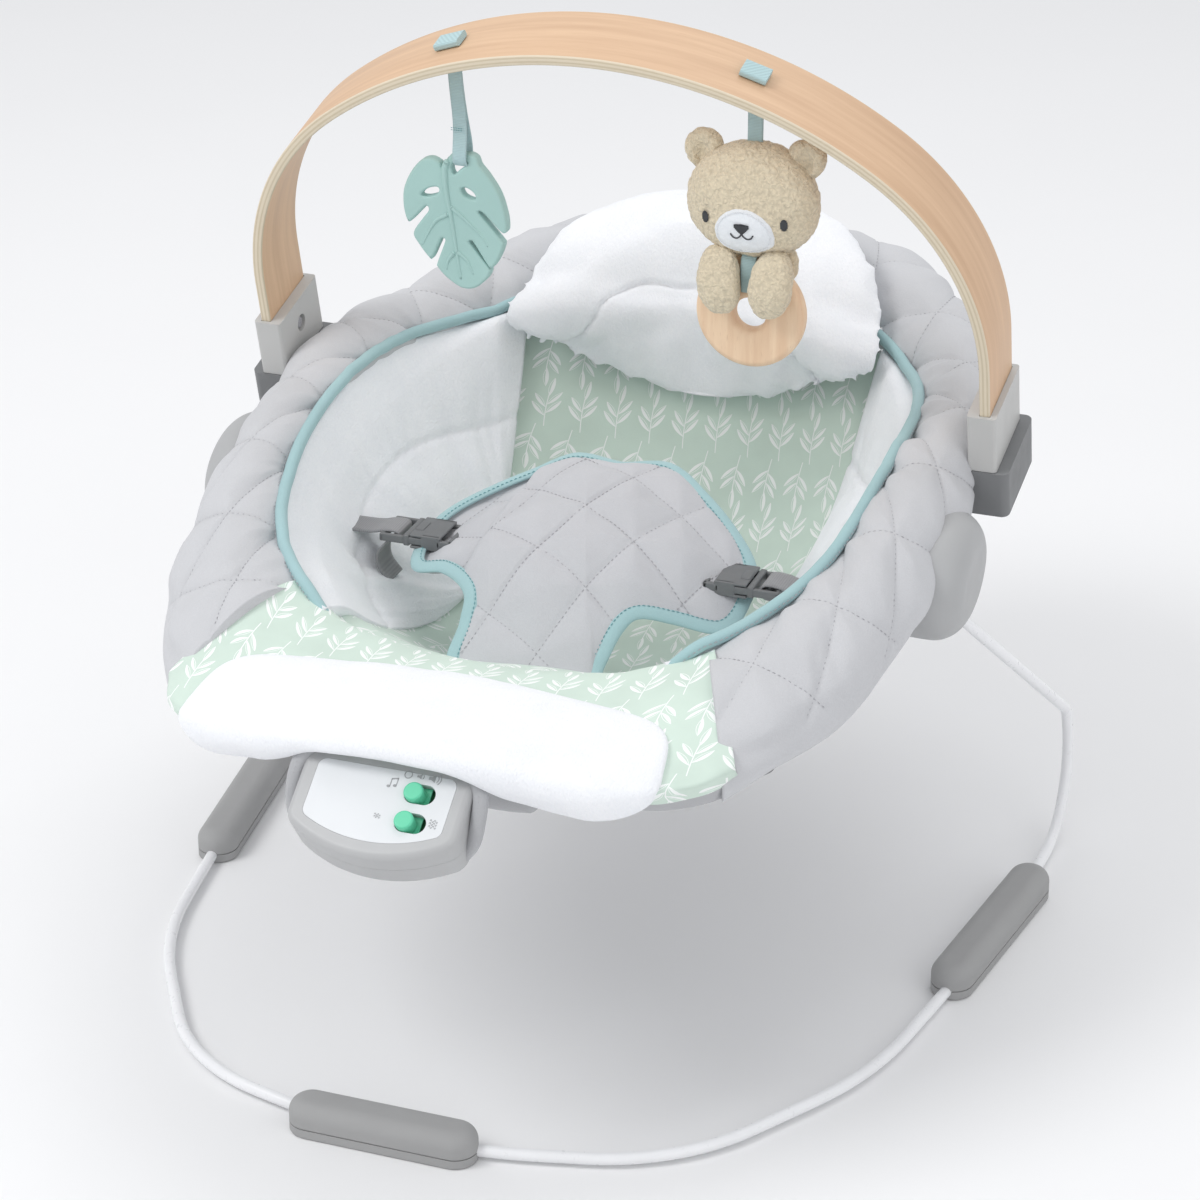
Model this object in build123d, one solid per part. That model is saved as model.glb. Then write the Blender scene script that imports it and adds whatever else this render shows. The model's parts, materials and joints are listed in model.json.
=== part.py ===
from build123d import *
import os
from math import cos, pi, radians, sin

# Bouncer seat: a reclined padded ring seat on a sprung wire base, with a lift-off wooden toy bar.
# Millimetres. +Z up, the front of the seat faces -Y, and the origin is on the floor under the middle.

# --- base: one white wire in three lengths, joined inside the side feet
WIRE_R = 3.5
WIRE_Z = 5.5
FRONT_HALF = [(244, -30), (226, -140), (150, -262)]
FRONT_TIP = (0, -300)
FRONT_RADII = [230, 130, 300, 130, 230]
FOOT_FRONT = Vector(242, -38, 0)
FOOT_REAR = Vector(262, 112, 0)
FRONT_FOOT_X = (-71, 42)
FRONT_FOOT_Y = -291
FOOT_WIDTH = 26
FOOT_HEIGHT = 21
HEEL_CORNER = (263, 214, WIRE_Z)
HEEL_RADIUS = 58
BOUNCE_Y = 203
BOUNCE_Z = 74
KNEE = (257, 200, 84)
KNEE_RADIUS = 13
LEG_TOP = (220, 12, 236)

# --- seat frame: a tube hoop in a plane that rises to the back, in two halves joined by the hubs
TILT = 9.65
SEAT_ORIGIN = (0, 28, 281.8)
TUBE_R = 6
HOOP_HALF_WIDTH = 214
HOOP_HALF_LENGTH = 300
HOOP_END_R = 185
SQUARENESS = 2.3
OUTLINE_POINTS = 14

# --- hubs, in the seat plane: x outwards, v along the seat, w square to it
HUB_V = -30
HUB_W = -16
HUB_LENGTH = 88
HUB_HEIGHT = 72
HUB_X = (203, 214, 239)
HUB_SCREWS = [(-52, -28), (-24, -38)]

# --- padded ring, bucket and covers (half width, half length, centre along the seat, height)
RING_OUTER = (222, 320, -9)
RING_INNER = (172, 219, 24)
RING_W = (-24, 28)
BUCKET = [
    (22, 169.5, 216.5, 24),
    (-34, 166, 200, 28),
    (-70, 150, 168, 33),
    (-104, 124, 128, 40),
    (-138, 86, 78, 48),
    (-158, 50, 46, 50),
]
SLING = 3
SLING_GAP = 1.4
LINER = 13
PANEL_HALF_WIDTH = 112
LIP_INNER = (119, -186)
LIP_OUTER = (166, -290)
GAP = 0.4

# --- toy bar: bent laminated wood, leaning forward
BAR_LEAN = 13.9
BAR_ORIGIN = (0, 62, 284.5)
STRIP_WIDTH = 53
STRIP_T = 6.3
BAR_HALF_WIDTH = 232
BAR_TOP = 271
BAR_TOP_R = 280
BAR_CORNER_R = 160
STRIP_FOOT = 27
SOCKET_X = (218.5, 236)
SOCKET_FOOT = 22
SOCKET_TOP = 60
SCREW_RISE = 16
TONGUE_X = (224, 231)
TONGUE_FOOT = 8
CLAMP_X = (201, 243)
CLAMP_FOOT = -9
CLAMP_SPLIT = 4
TOY_X = 92
SLOT = (13, 4)
TOY_DROP = 6

# --- control unit: plane of its face, tipped back
FACE_TILT = 36
FACE_ORIGIN = (0, -314, 235)
PLATE_WIDTH = 79
PLATE_SIDE = 33
PLATE_BOW = 10
BEZEL_MARGIN = 9
BEZEL_DEPTH = 14
CASE_DEPTH = 32
DOOR_TRAVEL = 15
LUG_X = 25
LUG_TOP = 44
WALL = 2.2
MOTOR = (-21, -21)
KNOB_R = 5.4
KNOB_TRAVEL = 6
DOOR_X = (-43, 6)
DOOR_V = (-13, 15)
SCREW_POSTS = [(-42, 20.5), (42, 20.5), (-36, -18), (36, -18)]
BOARD = ((-36, 38), (-14, 14), (-9.4, -7.8))
CELL_R = 6.9
CELL_X = (-44, 5)
CELL_V = (-5.5, 8.5)
CELL_W = -21.5
SPEAKER = (22, 4)
KNOBS = {"sound_slider": (18, 5), "vibration_slider": (18, -12)}

# --- toys
LEAF_DROP = (57, 139)
LEAF_OUTLINE = [(0, -40), (22, -26), (36, 0), (33, 24), (16, 36), (0, 30)]
LEAF_T = 8
LEAF_HOLES = [(12, 14, 12), (15, -2, 14), (12, -17, 10)]
BEAR_DROP = 61
BEAR_HEAD = (78, 40, 66)
EAR_PLACE = (30, 1, 23)
EAR_R = 12.5
EAR_T = 9
ARM_X = 16
RING_R = 33
RING_HOLE_R = 9.5
RING_T = 11
RING_DROP = 130.5

# --- cushions and harness
PIPING_R = 2.5
PIPING_LINE = (176.5, 223.5, 24)
PILLOW_HALF_WIDTH = 124
PILLOW_FRONT = [(186, 262), (196, 300), (222, 348), (262, 381), (305, 386), (334, 374)]
PILLOW_BACK = [(334, 340), (300, 320), (232, 240), (206, 236)]
BUCKLE = (104, -5, 240)
PAD_HALF_WIDTH = 86
PATCH = (138, 46, 9)
PATCH_V = -262

SEAT = Plane(
    origin=SEAT_ORIGIN,
    x_dir=(1, 0, 0),
    z_dir=(0, -sin(radians(TILT)), cos(radians(TILT))),
)
BAR = Plane(
    origin=BAR_ORIGIN,
    x_dir=(1, 0, 0),
    z_dir=(0, -cos(radians(BAR_LEAN)), -sin(radians(BAR_LEAN))),
)
FACE = Plane(
    origin=FACE_ORIGIN,
    x_dir=(1, 0, 0),
    z_dir=(0, -cos(radians(90 - FACE_TILT)), sin(radians(90 - FACE_TILT))),
)
SIDES = {"left": -1, "right": 1}


def save(node, *solids):
    """Writes one part, made of one or more solids, as its own STEP file."""
    shape = solids[0] if len(solids) == 1 else Compound(children=list(solids))
    export_step(shape, f"parts/{node}.step")


def block(x, y, z):
    """A box from its low and high coordinates along each axis."""
    size = (x[1] - x[0], y[1] - y[0], z[1] - z[0])
    middle = ((x[0] + x[1]) / 2, (y[0] + y[1]) / 2, (z[0] + z[1]) / 2)
    return Pos(*middle) * Box(*size)


def rod(start, end, radius):
    """A round bar between two points."""
    start, end = Vector(*start), Vector(*end)
    return extrude(Plane(origin=start, z_dir=end - start) * Circle(radius), (end - start).length)


def tube(path, radius):
    """A round bar along a path of tangent lines and arcs."""
    return sweep(Plane(origin=path @ 0, z_dir=path % 0) * Circle(radius), path=path)


def outline(half_width, half_length, centre):
    """A closed, slightly squared oval in the seat plane."""
    points = []
    for step in range(OUTLINE_POINTS):
        turn = 2 * pi * step / OUTLINE_POINTS
        c, s = cos(turn), sin(turn)
        x = half_width * abs(c) ** (2 / SQUARENESS) * (1 if c >= 0 else -1)
        v = half_length * abs(s) ** (2 / SQUARENESS) * (1 if s >= 0 else -1)
        points.append((x, centre + v))
    return Wire([Edge.make_spline([Vector(*p) for p in points], periodic=True)])


def oval(half_width, half_length, centre):
    """The face inside an outline."""
    return make_face(outline(half_width, half_length, centre))


def bucket(shrink, top=None):
    """The bowl under the ring, as a solid, made smaller all round by shrink."""
    rings = []
    for w, half_width, half_length, centre in BUCKET:
        lift = shrink if w == BUCKET[-1][0] else 0
        face = oval(half_width - shrink, half_length - shrink, centre)
        rings.append(Pos(0, 0, w + lift) * face)
    if top is not None:
        w, half_width, half_length, centre = BUCKET[0]
        rings.insert(0, Pos(0, 0, top) * oval(half_width - shrink, half_length - shrink, centre))
    return loft(rings)


# ---------------------------------------------------------------- base
def heel_path(side):
    """From inside the side foot, along the floor, up to the knee and forward to the hub."""
    inside = FOOT_REAR - (FOOT_REAR - FOOT_FRONT) * 0.3
    points = [(inside.X, inside.Y, WIRE_Z), HEEL_CORNER, KNEE, LEG_TOP]
    points = [(side * x, y, z) for x, y, z in points]
    return FilletPolyline(*points, radius=[HEEL_RADIUS, KNEE_RADIUS])


def make_base():
    """The sprung wire base: a front wire, two heel wires and three feet; gives back the leg wires."""
    right = [(x, y, WIRE_Z) for x, y in FRONT_HALF]
    left = [(-x, y, z) for x, y, z in reversed(right)]
    points = right + [(*FRONT_TIP, WIRE_Z)] + left
    front_wire = tube(FilletPolyline(*points, radius=FRONT_RADII), WIRE_R)
    save("front_wire", front_wire)

    legs = {}
    for name, side in SIDES.items():
        whole = tube(heel_path(side), WIRE_R)
        cut = BOUNCE_Z
        low = block((-300, 300), (0, 300), (-10, cut - GAP))
        high = block((-300, 300), (-50, 300), (cut + GAP, 400))
        heel_end = whole & low
        save(f"heel_wire_{name}", heel_end)
        legs[name] = whole & high
        save(f"leg_wire_{name}", legs[name])

        start = Vector(side * FOOT_FRONT.X, FOOT_FRONT.Y, 0)
        end = Vector(side * FOOT_REAR.X, FOOT_REAR.Y, 0)
        foot = make_foot(start, end) - front_wire - heel_end
        save(f"side_foot_{name}", foot)
    start = Vector(FRONT_FOOT_X[0], FRONT_FOOT_Y, 0)
    end = Vector(FRONT_FOOT_X[1], FRONT_FOOT_Y, 0)
    save("front_foot", make_foot(start, end) - front_wire)
    return legs


def make_foot(start, end):
    """A moulded boat-shaped foot with a flat sole, rounded shoulders and a groove round its lower edge."""
    length = (end - start).length
    place = Plane(origin=(start + end) / 2, x_dir=end - start, z_dir=(0, 0, 1))
    plan = SlotOverall(length, FOOT_WIDTH)
    body = extrude(plan, FOOT_HEIGHT)
    body = fillet(body.edges().group_by(Axis.Z)[-1], 9)
    body = fillet(body.edges().group_by(Axis.Z)[0], 1.5)
    groove_w = 0.8
    groove = extrude(SlotOverall(length + 4, FOOT_WIDTH + 4), groove_w)
    groove -= extrude(SlotOverall(length - 1.6, FOOT_WIDTH - 1.6), groove_w)
    body -= Pos(0, 0, 6) * groove
    return place * body


# ---------------------------------------------------------------- seat frame
def hoop_path(front):
    """Half of the frame hoop, from hub to hub, as side arc, end arc, side arc in the seat plane."""
    end_offset = HOOP_HALF_LENGTH - HOOP_END_R
    side_r = (HOOP_HALF_WIDTH**2 + end_offset**2 - HOOP_END_R**2) / (2 * (HOOP_HALF_WIDTH - HOOP_END_R))
    away = side_r - HOOP_HALF_WIDTH
    join = Vector(away, end_offset).get_angle(Vector(1, 0))
    if front:
        begin = (HUB_V - 8) / side_r * 180 / pi
        side_b = CenterArc((away, 0), side_r, 180 - begin, begin + join)
        end_a = CenterArc((0, -end_offset), HOOP_END_R, -join, -(180 - 2 * join))
        side_a = CenterArc((-away, 0), side_r, begin, -join - begin)
        return Wire([side_a, end_a, side_b])
    begin = (HUB_V + 8) / side_r * 180 / pi
    side_a = CenterArc((-away, 0), side_r, begin, join - begin)
    end_a = CenterArc((0, end_offset), HOOP_END_R, join, 180 - 2 * join)
    side_b = CenterArc((away, 0), side_r, 180 - join, join - begin)
    return Wire([side_a, end_a, side_b])


def make_hoops():
    """The front and rear halves of the seat frame's tube."""
    hoops = {}
    for name, front in (("front_hoop", True), ("rear_hoop", False)):
        hoops[name] = tube(hoop_path(front), TUBE_R)
        save(name, SEAT * hoops[name])
    return hoops


def hub_block(side, grow=0.0):
    """A hub's outline: a flat oval pod, domed on its outer side."""
    plan = Ellipse(HUB_LENGTH / 2 + grow, HUB_HEIGHT / 2 + grow)
    start = HUB_X[0] - grow
    stand = Plane(origin=(side * start, HUB_V, HUB_W), x_dir=(0, side, 0), z_dir=(side, 0, 0))
    pod = extrude(stand * plan, HUB_X[2] + grow - start)
    if grow == 0:
        pod = fillet(pod.edges().group_by(Axis.X)[-1 if side > 0 else 0], 20)
    return pod


def make_hubs(hoops, legs):
    """The side pods that clamp the hoop halves and the leg wires together."""
    screws = []
    for name, side in SIDES.items():
        pod = hub_block(side)
        leg = SEAT.to_local_coords(legs[name])
        for bar in (*hoops.values(), leg):
            pod -= bar
        for v, w in HUB_SCREWS:
            pod -= rod((side * (HUB_X[0] - 1), v, w), (side * (HUB_X[2] - 9), v, w), 1.8)
            pod -= rod((side * (HUB_X[0] - 1), v, w), (side * (HUB_X[0] + 3), v, w), 3.6)
            shank = rod((side * HUB_X[0], v, w), (side * (HUB_X[2] - 10), v, w), 1.7)
            head = rod((side * (HUB_X[0] + 0.4), v, w), (side * (HUB_X[0] + 2.9), v, w), 3.4)
            screws.append(SEAT * (shank + head))
        split = side * HUB_X[1]
        near = block(sorted((0, split)), (-200, 200), (-200, 200))
        far = block(sorted((split, side * 400)), (-200, 200), (-200, 200))
        save(f"hub_back_{name}", SEAT * (pod & near))
        save(f"hub_cover_{name}", SEAT * (pod & far))
    return screws


# ---------------------------------------------------------------- toy bar
def strip_line(inset):
    """One side of the bent strip, leg to leg, as legs, corner arcs and top arc."""
    corner_x = BAR_HALF_WIDTH - BAR_CORNER_R
    top_y = BAR_TOP - BAR_TOP_R
    corner_y = top_y + ((BAR_TOP_R - BAR_CORNER_R) ** 2 - corner_x**2) ** 0.5
    join = Vector(corner_x, corner_y - top_y).get_angle(Vector(1, 0))
    x = BAR_HALF_WIDTH - inset
    return [
        Line((x, STRIP_FOOT), (x, corner_y)),
        CenterArc((corner_x, corner_y), BAR_CORNER_R - inset, 0, join),
        CenterArc((0, top_y), BAR_TOP_R - inset, join, 180 - 2 * join),
        CenterArc((-corner_x, corner_y), BAR_CORNER_R - inset, 180 - join, join),
        Line((-x, corner_y), (-x, STRIP_FOOT)),
    ]


def make_bar():
    """The bent wooden strip with its shoes, screws and clamps."""
    outer, inner = strip_line(0), strip_line(STRIP_T)
    ends = [Line(outer[0] @ 0, inner[0] @ 0), Line(outer[-1] @ 1, inner[-1] @ 1)]
    section = make_face(Wire(outer + inner + ends))
    strip = extrude(section, -STRIP_WIDTH)
    for x in (-TOY_X, TOY_X):
        strip -= on_strip(x) * Box(SLOT[0], 4 * STRIP_T, SLOT[1])
    screw_y = STRIP_FOOT + SCREW_RISE
    for side in SIDES.values():
        strip -= rod((side * 220, screw_y, -STRIP_WIDTH / 2), (side * 240, screw_y, -STRIP_WIDTH / 2), 1.9)
    save("wood_arch", BAR * strip)

    screws = []
    for name, side in SIDES.items():
        socket = make_socket(side)
        save(f"bar_socket_{name}", BAR * socket)
        head = rod((side * 219.6, screw_y, -STRIP_WIDTH / 2), (side * 222.4, screw_y, -STRIP_WIDTH / 2), 3.4)
        shank = rod((side * 220, screw_y, -STRIP_WIDTH / 2), (side * 234, screw_y, -STRIP_WIDTH / 2), 1.7)
        screws.append(BAR * (head + shank))
        upper, lower = make_clamp(side)
        save(f"bar_clamp_{name}", BAR * upper)
        save(f"clamp_cap_{name}", BAR * lower)
    save("bar_screws", *screws)


def make_socket(side):
    """The light grey shoe that holds the end of the strip, with a tongue below that drops into the clamp."""
    body = block(SOCKET_X, (SOCKET_FOOT, SOCKET_TOP), (-STRIP_WIDTH - 2.6, 2.6))
    body = fillet(body.edges().filter_by(Axis.Y), 2.2)
    body -= block((225.5, 232.2), (STRIP_FOOT - 0.2, SOCKET_TOP + 5), (-STRIP_WIDTH - 0.3, 0.3))
    screw_y = STRIP_FOOT + SCREW_RISE
    body -= rod((200, screw_y, -STRIP_WIDTH / 2), (223, screw_y, -STRIP_WIDTH / 2), 5.5)
    body -= rod((200, screw_y, -STRIP_WIDTH / 2), (234.5, screw_y, -STRIP_WIDTH / 2), 1.8)
    body += block(TONGUE_X, (TONGUE_FOOT, SOCKET_FOOT), (-STRIP_WIDTH + 10, -10))
    return body if side > 0 else mirror(body, Plane.YZ)


def make_clamp(side):
    """The dark base that grips the frame tube, in an upper and a lower half, with a pocket for the tongue."""
    body = block(CLAMP_X, (CLAMP_FOOT, SOCKET_FOOT - 0.3), (-STRIP_WIDTH - 6, 3.5))
    body = fillet(body.edges().filter_by(Axis.Y), 5)
    pocket_x = (TONGUE_X[0] - 0.3, TONGUE_X[1] + 0.3)
    body -= block(pocket_x, (TONGUE_FOOT - 1, 40), (-STRIP_WIDTH + 9.6, -9.6))
    hoop = BAR.to_local_coords(SEAT * tube(hoop_path(False), TUBE_R + 0.15))
    if side < 0:
        body = mirror(body, Plane.YZ)
    body -= hoop
    upper = body & block((-400, 400), (CLAMP_SPLIT, 60), (-100, 50))
    lower = body & block((-400, 400), (-60, CLAMP_SPLIT), (-100, 50))
    return upper, lower


# ---------------------------------------------------------------- toys
def strap_tab(x):
    """A ribbon folded over on top of the strip, with its neck in the slot."""
    neck = block((-5, 5), (-STRIP_T - 2, 1), (-1.2, 1.2))
    fold = block((-8, 8), (0.4, 4.4), (-7, 7))
    return on_strip(x) * (neck + fillet(fold.edges().filter_by(Axis.X), 1.5))


def strip_height(x):
    """Height of the strip's top line above the bar's origin, at x."""
    return BAR_TOP - BAR_TOP_R + (BAR_TOP_R**2 - x**2) ** 0.5


def on_strip(x):
    """The place on top of the strip at x, in the middle of its width and square to its slope."""
    slope = Vector(BAR_TOP_R, 0).get_angle(Vector((BAR_TOP_R**2 - x**2) ** 0.5, x))
    return Pos(x, strip_height(x), -STRIP_WIDTH / 2) * Rot(0, 0, -slope if x > 0 else slope)


def toy_pivot(side):
    """Where a toy's ribbon hangs from: in the slot's line, just under the strip."""
    local = Vector(side * TOY_X, strip_height(TOY_X) - STRIP_T - TOY_DROP, -STRIP_WIDTH / 2)
    return BAR.from_local_coords(local)


def make_leaf():
    """A silicone leaf teether on its ribbon."""
    pivot = toy_pivot(-1)
    x, y, z = pivot
    save("leaf_tab", BAR * strap_tab(-TOY_X))
    ribbon = block((x - 4.5, x + 4.5), (y - 1, y + 1), (z - 54, z + 1))
    upper, lower = (z - drop for drop in LEAF_DROP)
    stem = block((x - 3, x + 3), (y - 2.5, y + 2.5), (upper - 16, upper + 2.6))
    blade = Plane(origin=(x, y + LEAF_T / 2, (lower + upper) / 2), x_dir=(1, 0, 0), z_dir=(0, -1, 0))
    mirrored = [(-u, v) for u, v in reversed(LEAF_OUTLINE[1:-1])]
    edge = Edge.make_spline([Vector(*p) for p in LEAF_OUTLINE + mirrored], periodic=True)
    leaf = extrude(blade * make_face(Wire([edge])), LEAF_T)
    for u, v, length in LEAF_HOLES:
        for mirror_side in (-1, 1):
            hole = Pos(mirror_side * u, v) * Rot(0, 0, mirror_side * 35) * SlotOverall(length, 5)
            leaf -= extrude(blade * hole, LEAF_T)
    save("leaf_strap", ribbon)
    save("leaf_teether", leaf + stem)


def puff(x, y, z, size, edge):
    """A soft oval form: an upright ellipse with its edges rounded off, facing the front."""
    plan = Plane(origin=(x, y + size[1] / 2, z), x_dir=(1, 0, 0), z_dir=(0, -1, 0))
    form = extrude(plan * Ellipse(size[0] / 2, size[2] / 2), size[1])
    return fillet(form.edges(), edge)


def make_bear():
    """A stuffed bear on its ribbon, whose arms hold a wooden ring."""
    x, y, z = toy_pivot(1)
    save("bear_tab", BAR * strap_tab(TOY_X))
    head_z = z - BEAR_DROP
    head = puff(x, y, head_z, BEAR_HEAD, 18)
    for side in (-1, 1):
        ear_place = Pos(x + side * EAR_PLACE[0], y + EAR_PLACE[1], head_z + EAR_PLACE[2])
        head += ear_place * Rot(90, 0, 0) * Cylinder(EAR_R, EAR_T)
    ribbon = block((x - 5, x + 5), (y - 1, y + 1), (head_z + 33.4, z + 1))
    save("bear_strap", ribbon)
    muzzle = puff(x, y - BEAR_HEAD[1] / 2 - 3.3, head_z - 12, (35, 6, 25), 2.5)
    save("bear_muzzle", muzzle)
    save("bear_head", head)
    ring_z = z - RING_DROP
    ring = Pos(x, y, ring_z) * Rot(90, 0, 0) * (Cylinder(RING_R, RING_T) - Cylinder(RING_HOLE_R, RING_T))
    ring = fillet(ring.edges(), 4)
    save("wood_ring", ring)
    arms = []
    arm_top = head_z - BEAR_HEAD[2] / 2 - GAP
    for side in (-1, 1):
        middle = x + side * ARM_X
        front = block((middle - 11, middle + 11), (y - 19, y - 6.2), (ring_z + 2, arm_top))
        front = fillet(front.edges(), 5)
        back = block((middle - 9, middle + 9), (y + 6.2, y + 12), (ring_z + 14, arm_top))
        bridge = block((middle - 9, middle + 9), (y - 16, y + 12), (ring_z + RING_R + 0.5, arm_top))
        arms.append(front + back + bridge)
    save("bear_arms", *arms)


# ---------------------------------------------------------------- padded ring, bucket and cushions
def lip_wedge(grow):
    """The front part of the ring, between two upright cuts that spread outwards."""
    (x_in, v_in), (x_out, v_out) = LIP_INNER, LIP_OUTER
    back = v_in + 40
    front = v_out - 60
    points = [(x_in + grow, back), (x_in + grow, v_in), (x_out + grow, v_out), (x_out + grow, front)]
    mirrored = [(-x, v) for x, v in reversed(points)]
    edge = Polyline(*points, *mirrored, close=True)
    return Pos(0, 0, -100) * extrude(make_face(edge), 220)


def make_ring(hoops):
    """The padded ring round the frame, the lip at its front and the piping on its inner edge."""
    low, high = RING_W
    ring = Pos(0, 0, low) * extrude(oval(*RING_OUTER), high - low)
    ring = fillet(ring.edges().group_by(Axis.Z)[-1], 20)
    ring = fillet(ring.edges().group_by(Axis.Z)[0], 12)
    ring -= Pos(0, 0, low - 5) * extrude(oval(*RING_INNER), high - low + 10)
    for name in hoops:
        ring -= tube(hoop_path(name == "front_hoop"), TUBE_R + GAP)
    for side in SIDES.values():
        ring -= hub_block(side, grow=1.0)
        ring -= clamp_space(side)
    lip = ring & lip_wedge(0)
    body = ring - lip_wedge(GAP)
    lip -= unit_space()
    save("ring_cushion", SEAT * biggest(body))
    save("front_lip", SEAT * biggest(lip))

    line = Pos(0, 0, high + PIPING_R + 0.5) * oval(*PIPING_LINE)
    save("edge_piping", SEAT * sweep_round(line.face()))


def biggest(shape):
    """The largest solid of a shape."""
    return max(shape.solids(), key=lambda solid: solid.volume)


def sweep_round(face):
    """The round piping along the edge of a face."""
    path = face.outer_wire()
    section = Plane(origin=path @ 0, z_dir=path % 0) * Circle(PIPING_R)
    return sweep(section, path=path)


def clamp_space(side):
    """Room for the toy bar's clamp and shoe beside the ring, in the seat plane."""
    body = block((199.5, 260), (-60, SOCKET_TOP), (-STRIP_WIDTH - 8, 5.5))
    if side < 0:
        body = mirror(body, Plane.YZ)
    return SEAT.to_local_coords(BAR * body)


def unit_space():
    """Room for the control unit under the front lip, in the seat plane."""
    half = PLATE_WIDTH / 2 + BEZEL_MARGIN + 1
    low = -CASE_DEPTH - DOOR_TRAVEL - 4
    body = block((-half, half), (-60, PLATE_SIDE / 2 + BEZEL_MARGIN + 1), (low, 60))
    body += block((-LUG_X - 6, LUG_X + 6), (0, LUG_TOP + 1), (low, -CASE_DEPTH + 13))
    return SEAT.to_local_coords(FACE * body)


def make_bucket():
    """The cloth bowl under the ring and its padded lining in three panels."""
    outer, middle, inner = bucket(0), bucket(SLING, top=40), bucket(LINER, top=40)
    passages = [SEAT.to_local_coords(strap_passage(side)) for side in SIDES.values()]
    sling = outer - middle
    below_rim = block((-300, 300), (-300, 300), (-200, BUCKET[0][0]))
    liner = (bucket(SLING + SLING_GAP, top=40) - inner) & below_rim
    for passage in passages:
        sling -= passage
        liner -= passage
    save("seat_sling", SEAT * biggest(sling))
    half = PANEL_HALF_WIDTH
    save("seat_panel", SEAT * biggest(liner & block((-half, half), (-300, 300), (-200, 100))))
    for name, side in SIDES.items():
        x = sorted((side * (half + GAP), side * 300))
        save(f"side_panel_{name}", SEAT * biggest(liner & block(x, (-300, 300), (-200, 100))))


def make_pillow():
    """The head pillow: it lies up the back of the bucket and over the back of the ring."""
    inside = bucket(LINER + GAP, top=70)
    over_ring = block((-250, 250), (-50, 400), (RING_W[1] + 2 * PIPING_R + 1.2, 100))
    profile = Spline(*[Vector(0, y, z) for y, z in PILLOW_FRONT])
    rear = Polyline(*[(0, y, z) for y, z in PILLOW_BACK])
    closing = [Line(profile @ 1, rear @ 0), Line(rear @ 1, profile @ 0)]
    section = make_face(Wire([profile, *rear.edges(), *closing]))
    slab = extrude(section, PILLOW_HALF_WIDTH, both=True)
    slab = SEAT.to_local_coords(slab)
    shape = slab & (inside + over_ring)
    plan = Plane(origin=SEAT.to_local_coords(Vector(0, 250, 320)), x_dir=(1, 0, 0), z_dir=(0, -0.75, 0.66))
    round_off = extrude(plan * Ellipse(PILLOW_HALF_WIDTH, 98), 120, both=True)
    save("head_pillow", SEAT * biggest(shape & round_off))


def strap_passage(side):
    """The slit in the side wall that a waist strap slides through."""
    x = sorted((side * 130, side * 200))
    return block(x, (BUCKLE[1] - 14.5, BUCKLE[1] + 14.5), (BUCKLE[2] - 2.5, BUCKLE[2] + 2.5))


def make_harness():
    """A padded T between the legs, with a side-release buckle and a webbing strap at each end of its bar."""
    x, y, z = BUCKLE
    half = PAD_HALF_WIDTH
    arc = ThreePointArc((-half, z - 3), (0, z + 24), (half, z - 3))
    rise = ThreePointArc((half, z + 6), (0, z + 34), (-half, z + 6))
    ends = [Line(arc @ 1, rise @ 0), Line(rise @ 1, arc @ 0)]
    across = extrude(Plane.XZ * make_face(Wire([arc, rise, *ends])), 62)
    across = Pos(0, y + 45, 0) * across
    front = [(y - 10, z + 20), (y - 82, z - 28), (y - 87, z - 19), (y - 16, z + 31)]
    down = make_face(Polyline(*[(0, v, w) for v, w in front], close=True))
    down = extrude(down, 42, both=True)
    save("crotch_pad", across + down)

    for name, side in SIDES.items():
        body = block((x - 17, x + 6), (y - 15, y + 15), (z - 5.5, z + 5.5))
        body = fillet(body.edges().filter_by(Axis.X), 3)
        body -= block((x - 12, x + 7), (y - 12.2, y + 12.2), (z - 3.2, z + 3.2))
        prong = block((x - 9, x + 7), (y - 12, y - 8), (z - 2.8, z + 2.8))
        tongue = block((x - 9, x + 7), (y - 3, y + 3), (z - 2.2, z + 2.2))
        bar = block((x + 6.6, x + 20), (y - 13, y + 13), (z - 4, z + 4))
        bar = fillet(bar.edges().filter_by(Axis.X), 2)
        bar -= block((x + 11, x + 15), (y - 11, y + 11), (z - 10, z + 10))
        male = bar + tongue + prong + mirror(prong, Plane(origin=(0, y, 0), z_dir=(0, 1, 0)))
        strap = block((x + 20.3, x + 72), (y - 11, y + 11), (z - 0.8, z + 0.8))
        if side < 0:
            body, male, strap = (mirror(piece, Plane.YZ) for piece in (body, male, strap))
        save(f"buckle_{name}", body)
        save(f"buckle_tongue_{name}", male)
        save(f"waist_strap_{name}", strap)


def make_foot_patch():
    """The plush pad over the front of the lip."""
    low = RING_W[1] + 0.5
    half_width, half_length, height = PATCH
    pad = extrude(Pos(0, PATCH_V) * Ellipse(half_width, half_length), height)
    pad = fillet(pad.edges().group_by(Axis.Z)[-1], 6)
    patch = Pos(0, 0, low) * pad
    patch -= unit_space()
    save("foot_patch", SEAT * biggest(patch))


# ---------------------------------------------------------------- control unit
def unit_outline(margin):
    """The face plate's outline, grown by margin: straight sides and a bowed lower edge."""
    half = PLATE_WIDTH / 2 + margin
    top = PLATE_SIDE / 2 + margin
    low = -PLATE_SIDE / 2 - margin * 0.4
    bow = ThreePointArc((-half, low), (0, -PLATE_SIDE / 2 - PLATE_BOW - margin), (half, low))
    sides = Polyline((half, low), (half, top), (-half, top), (-half, low))
    face = make_face(Wire([bow, *sides.edges()]))
    return fillet(face.vertices(), 5 + margin * 0.6)


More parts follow.
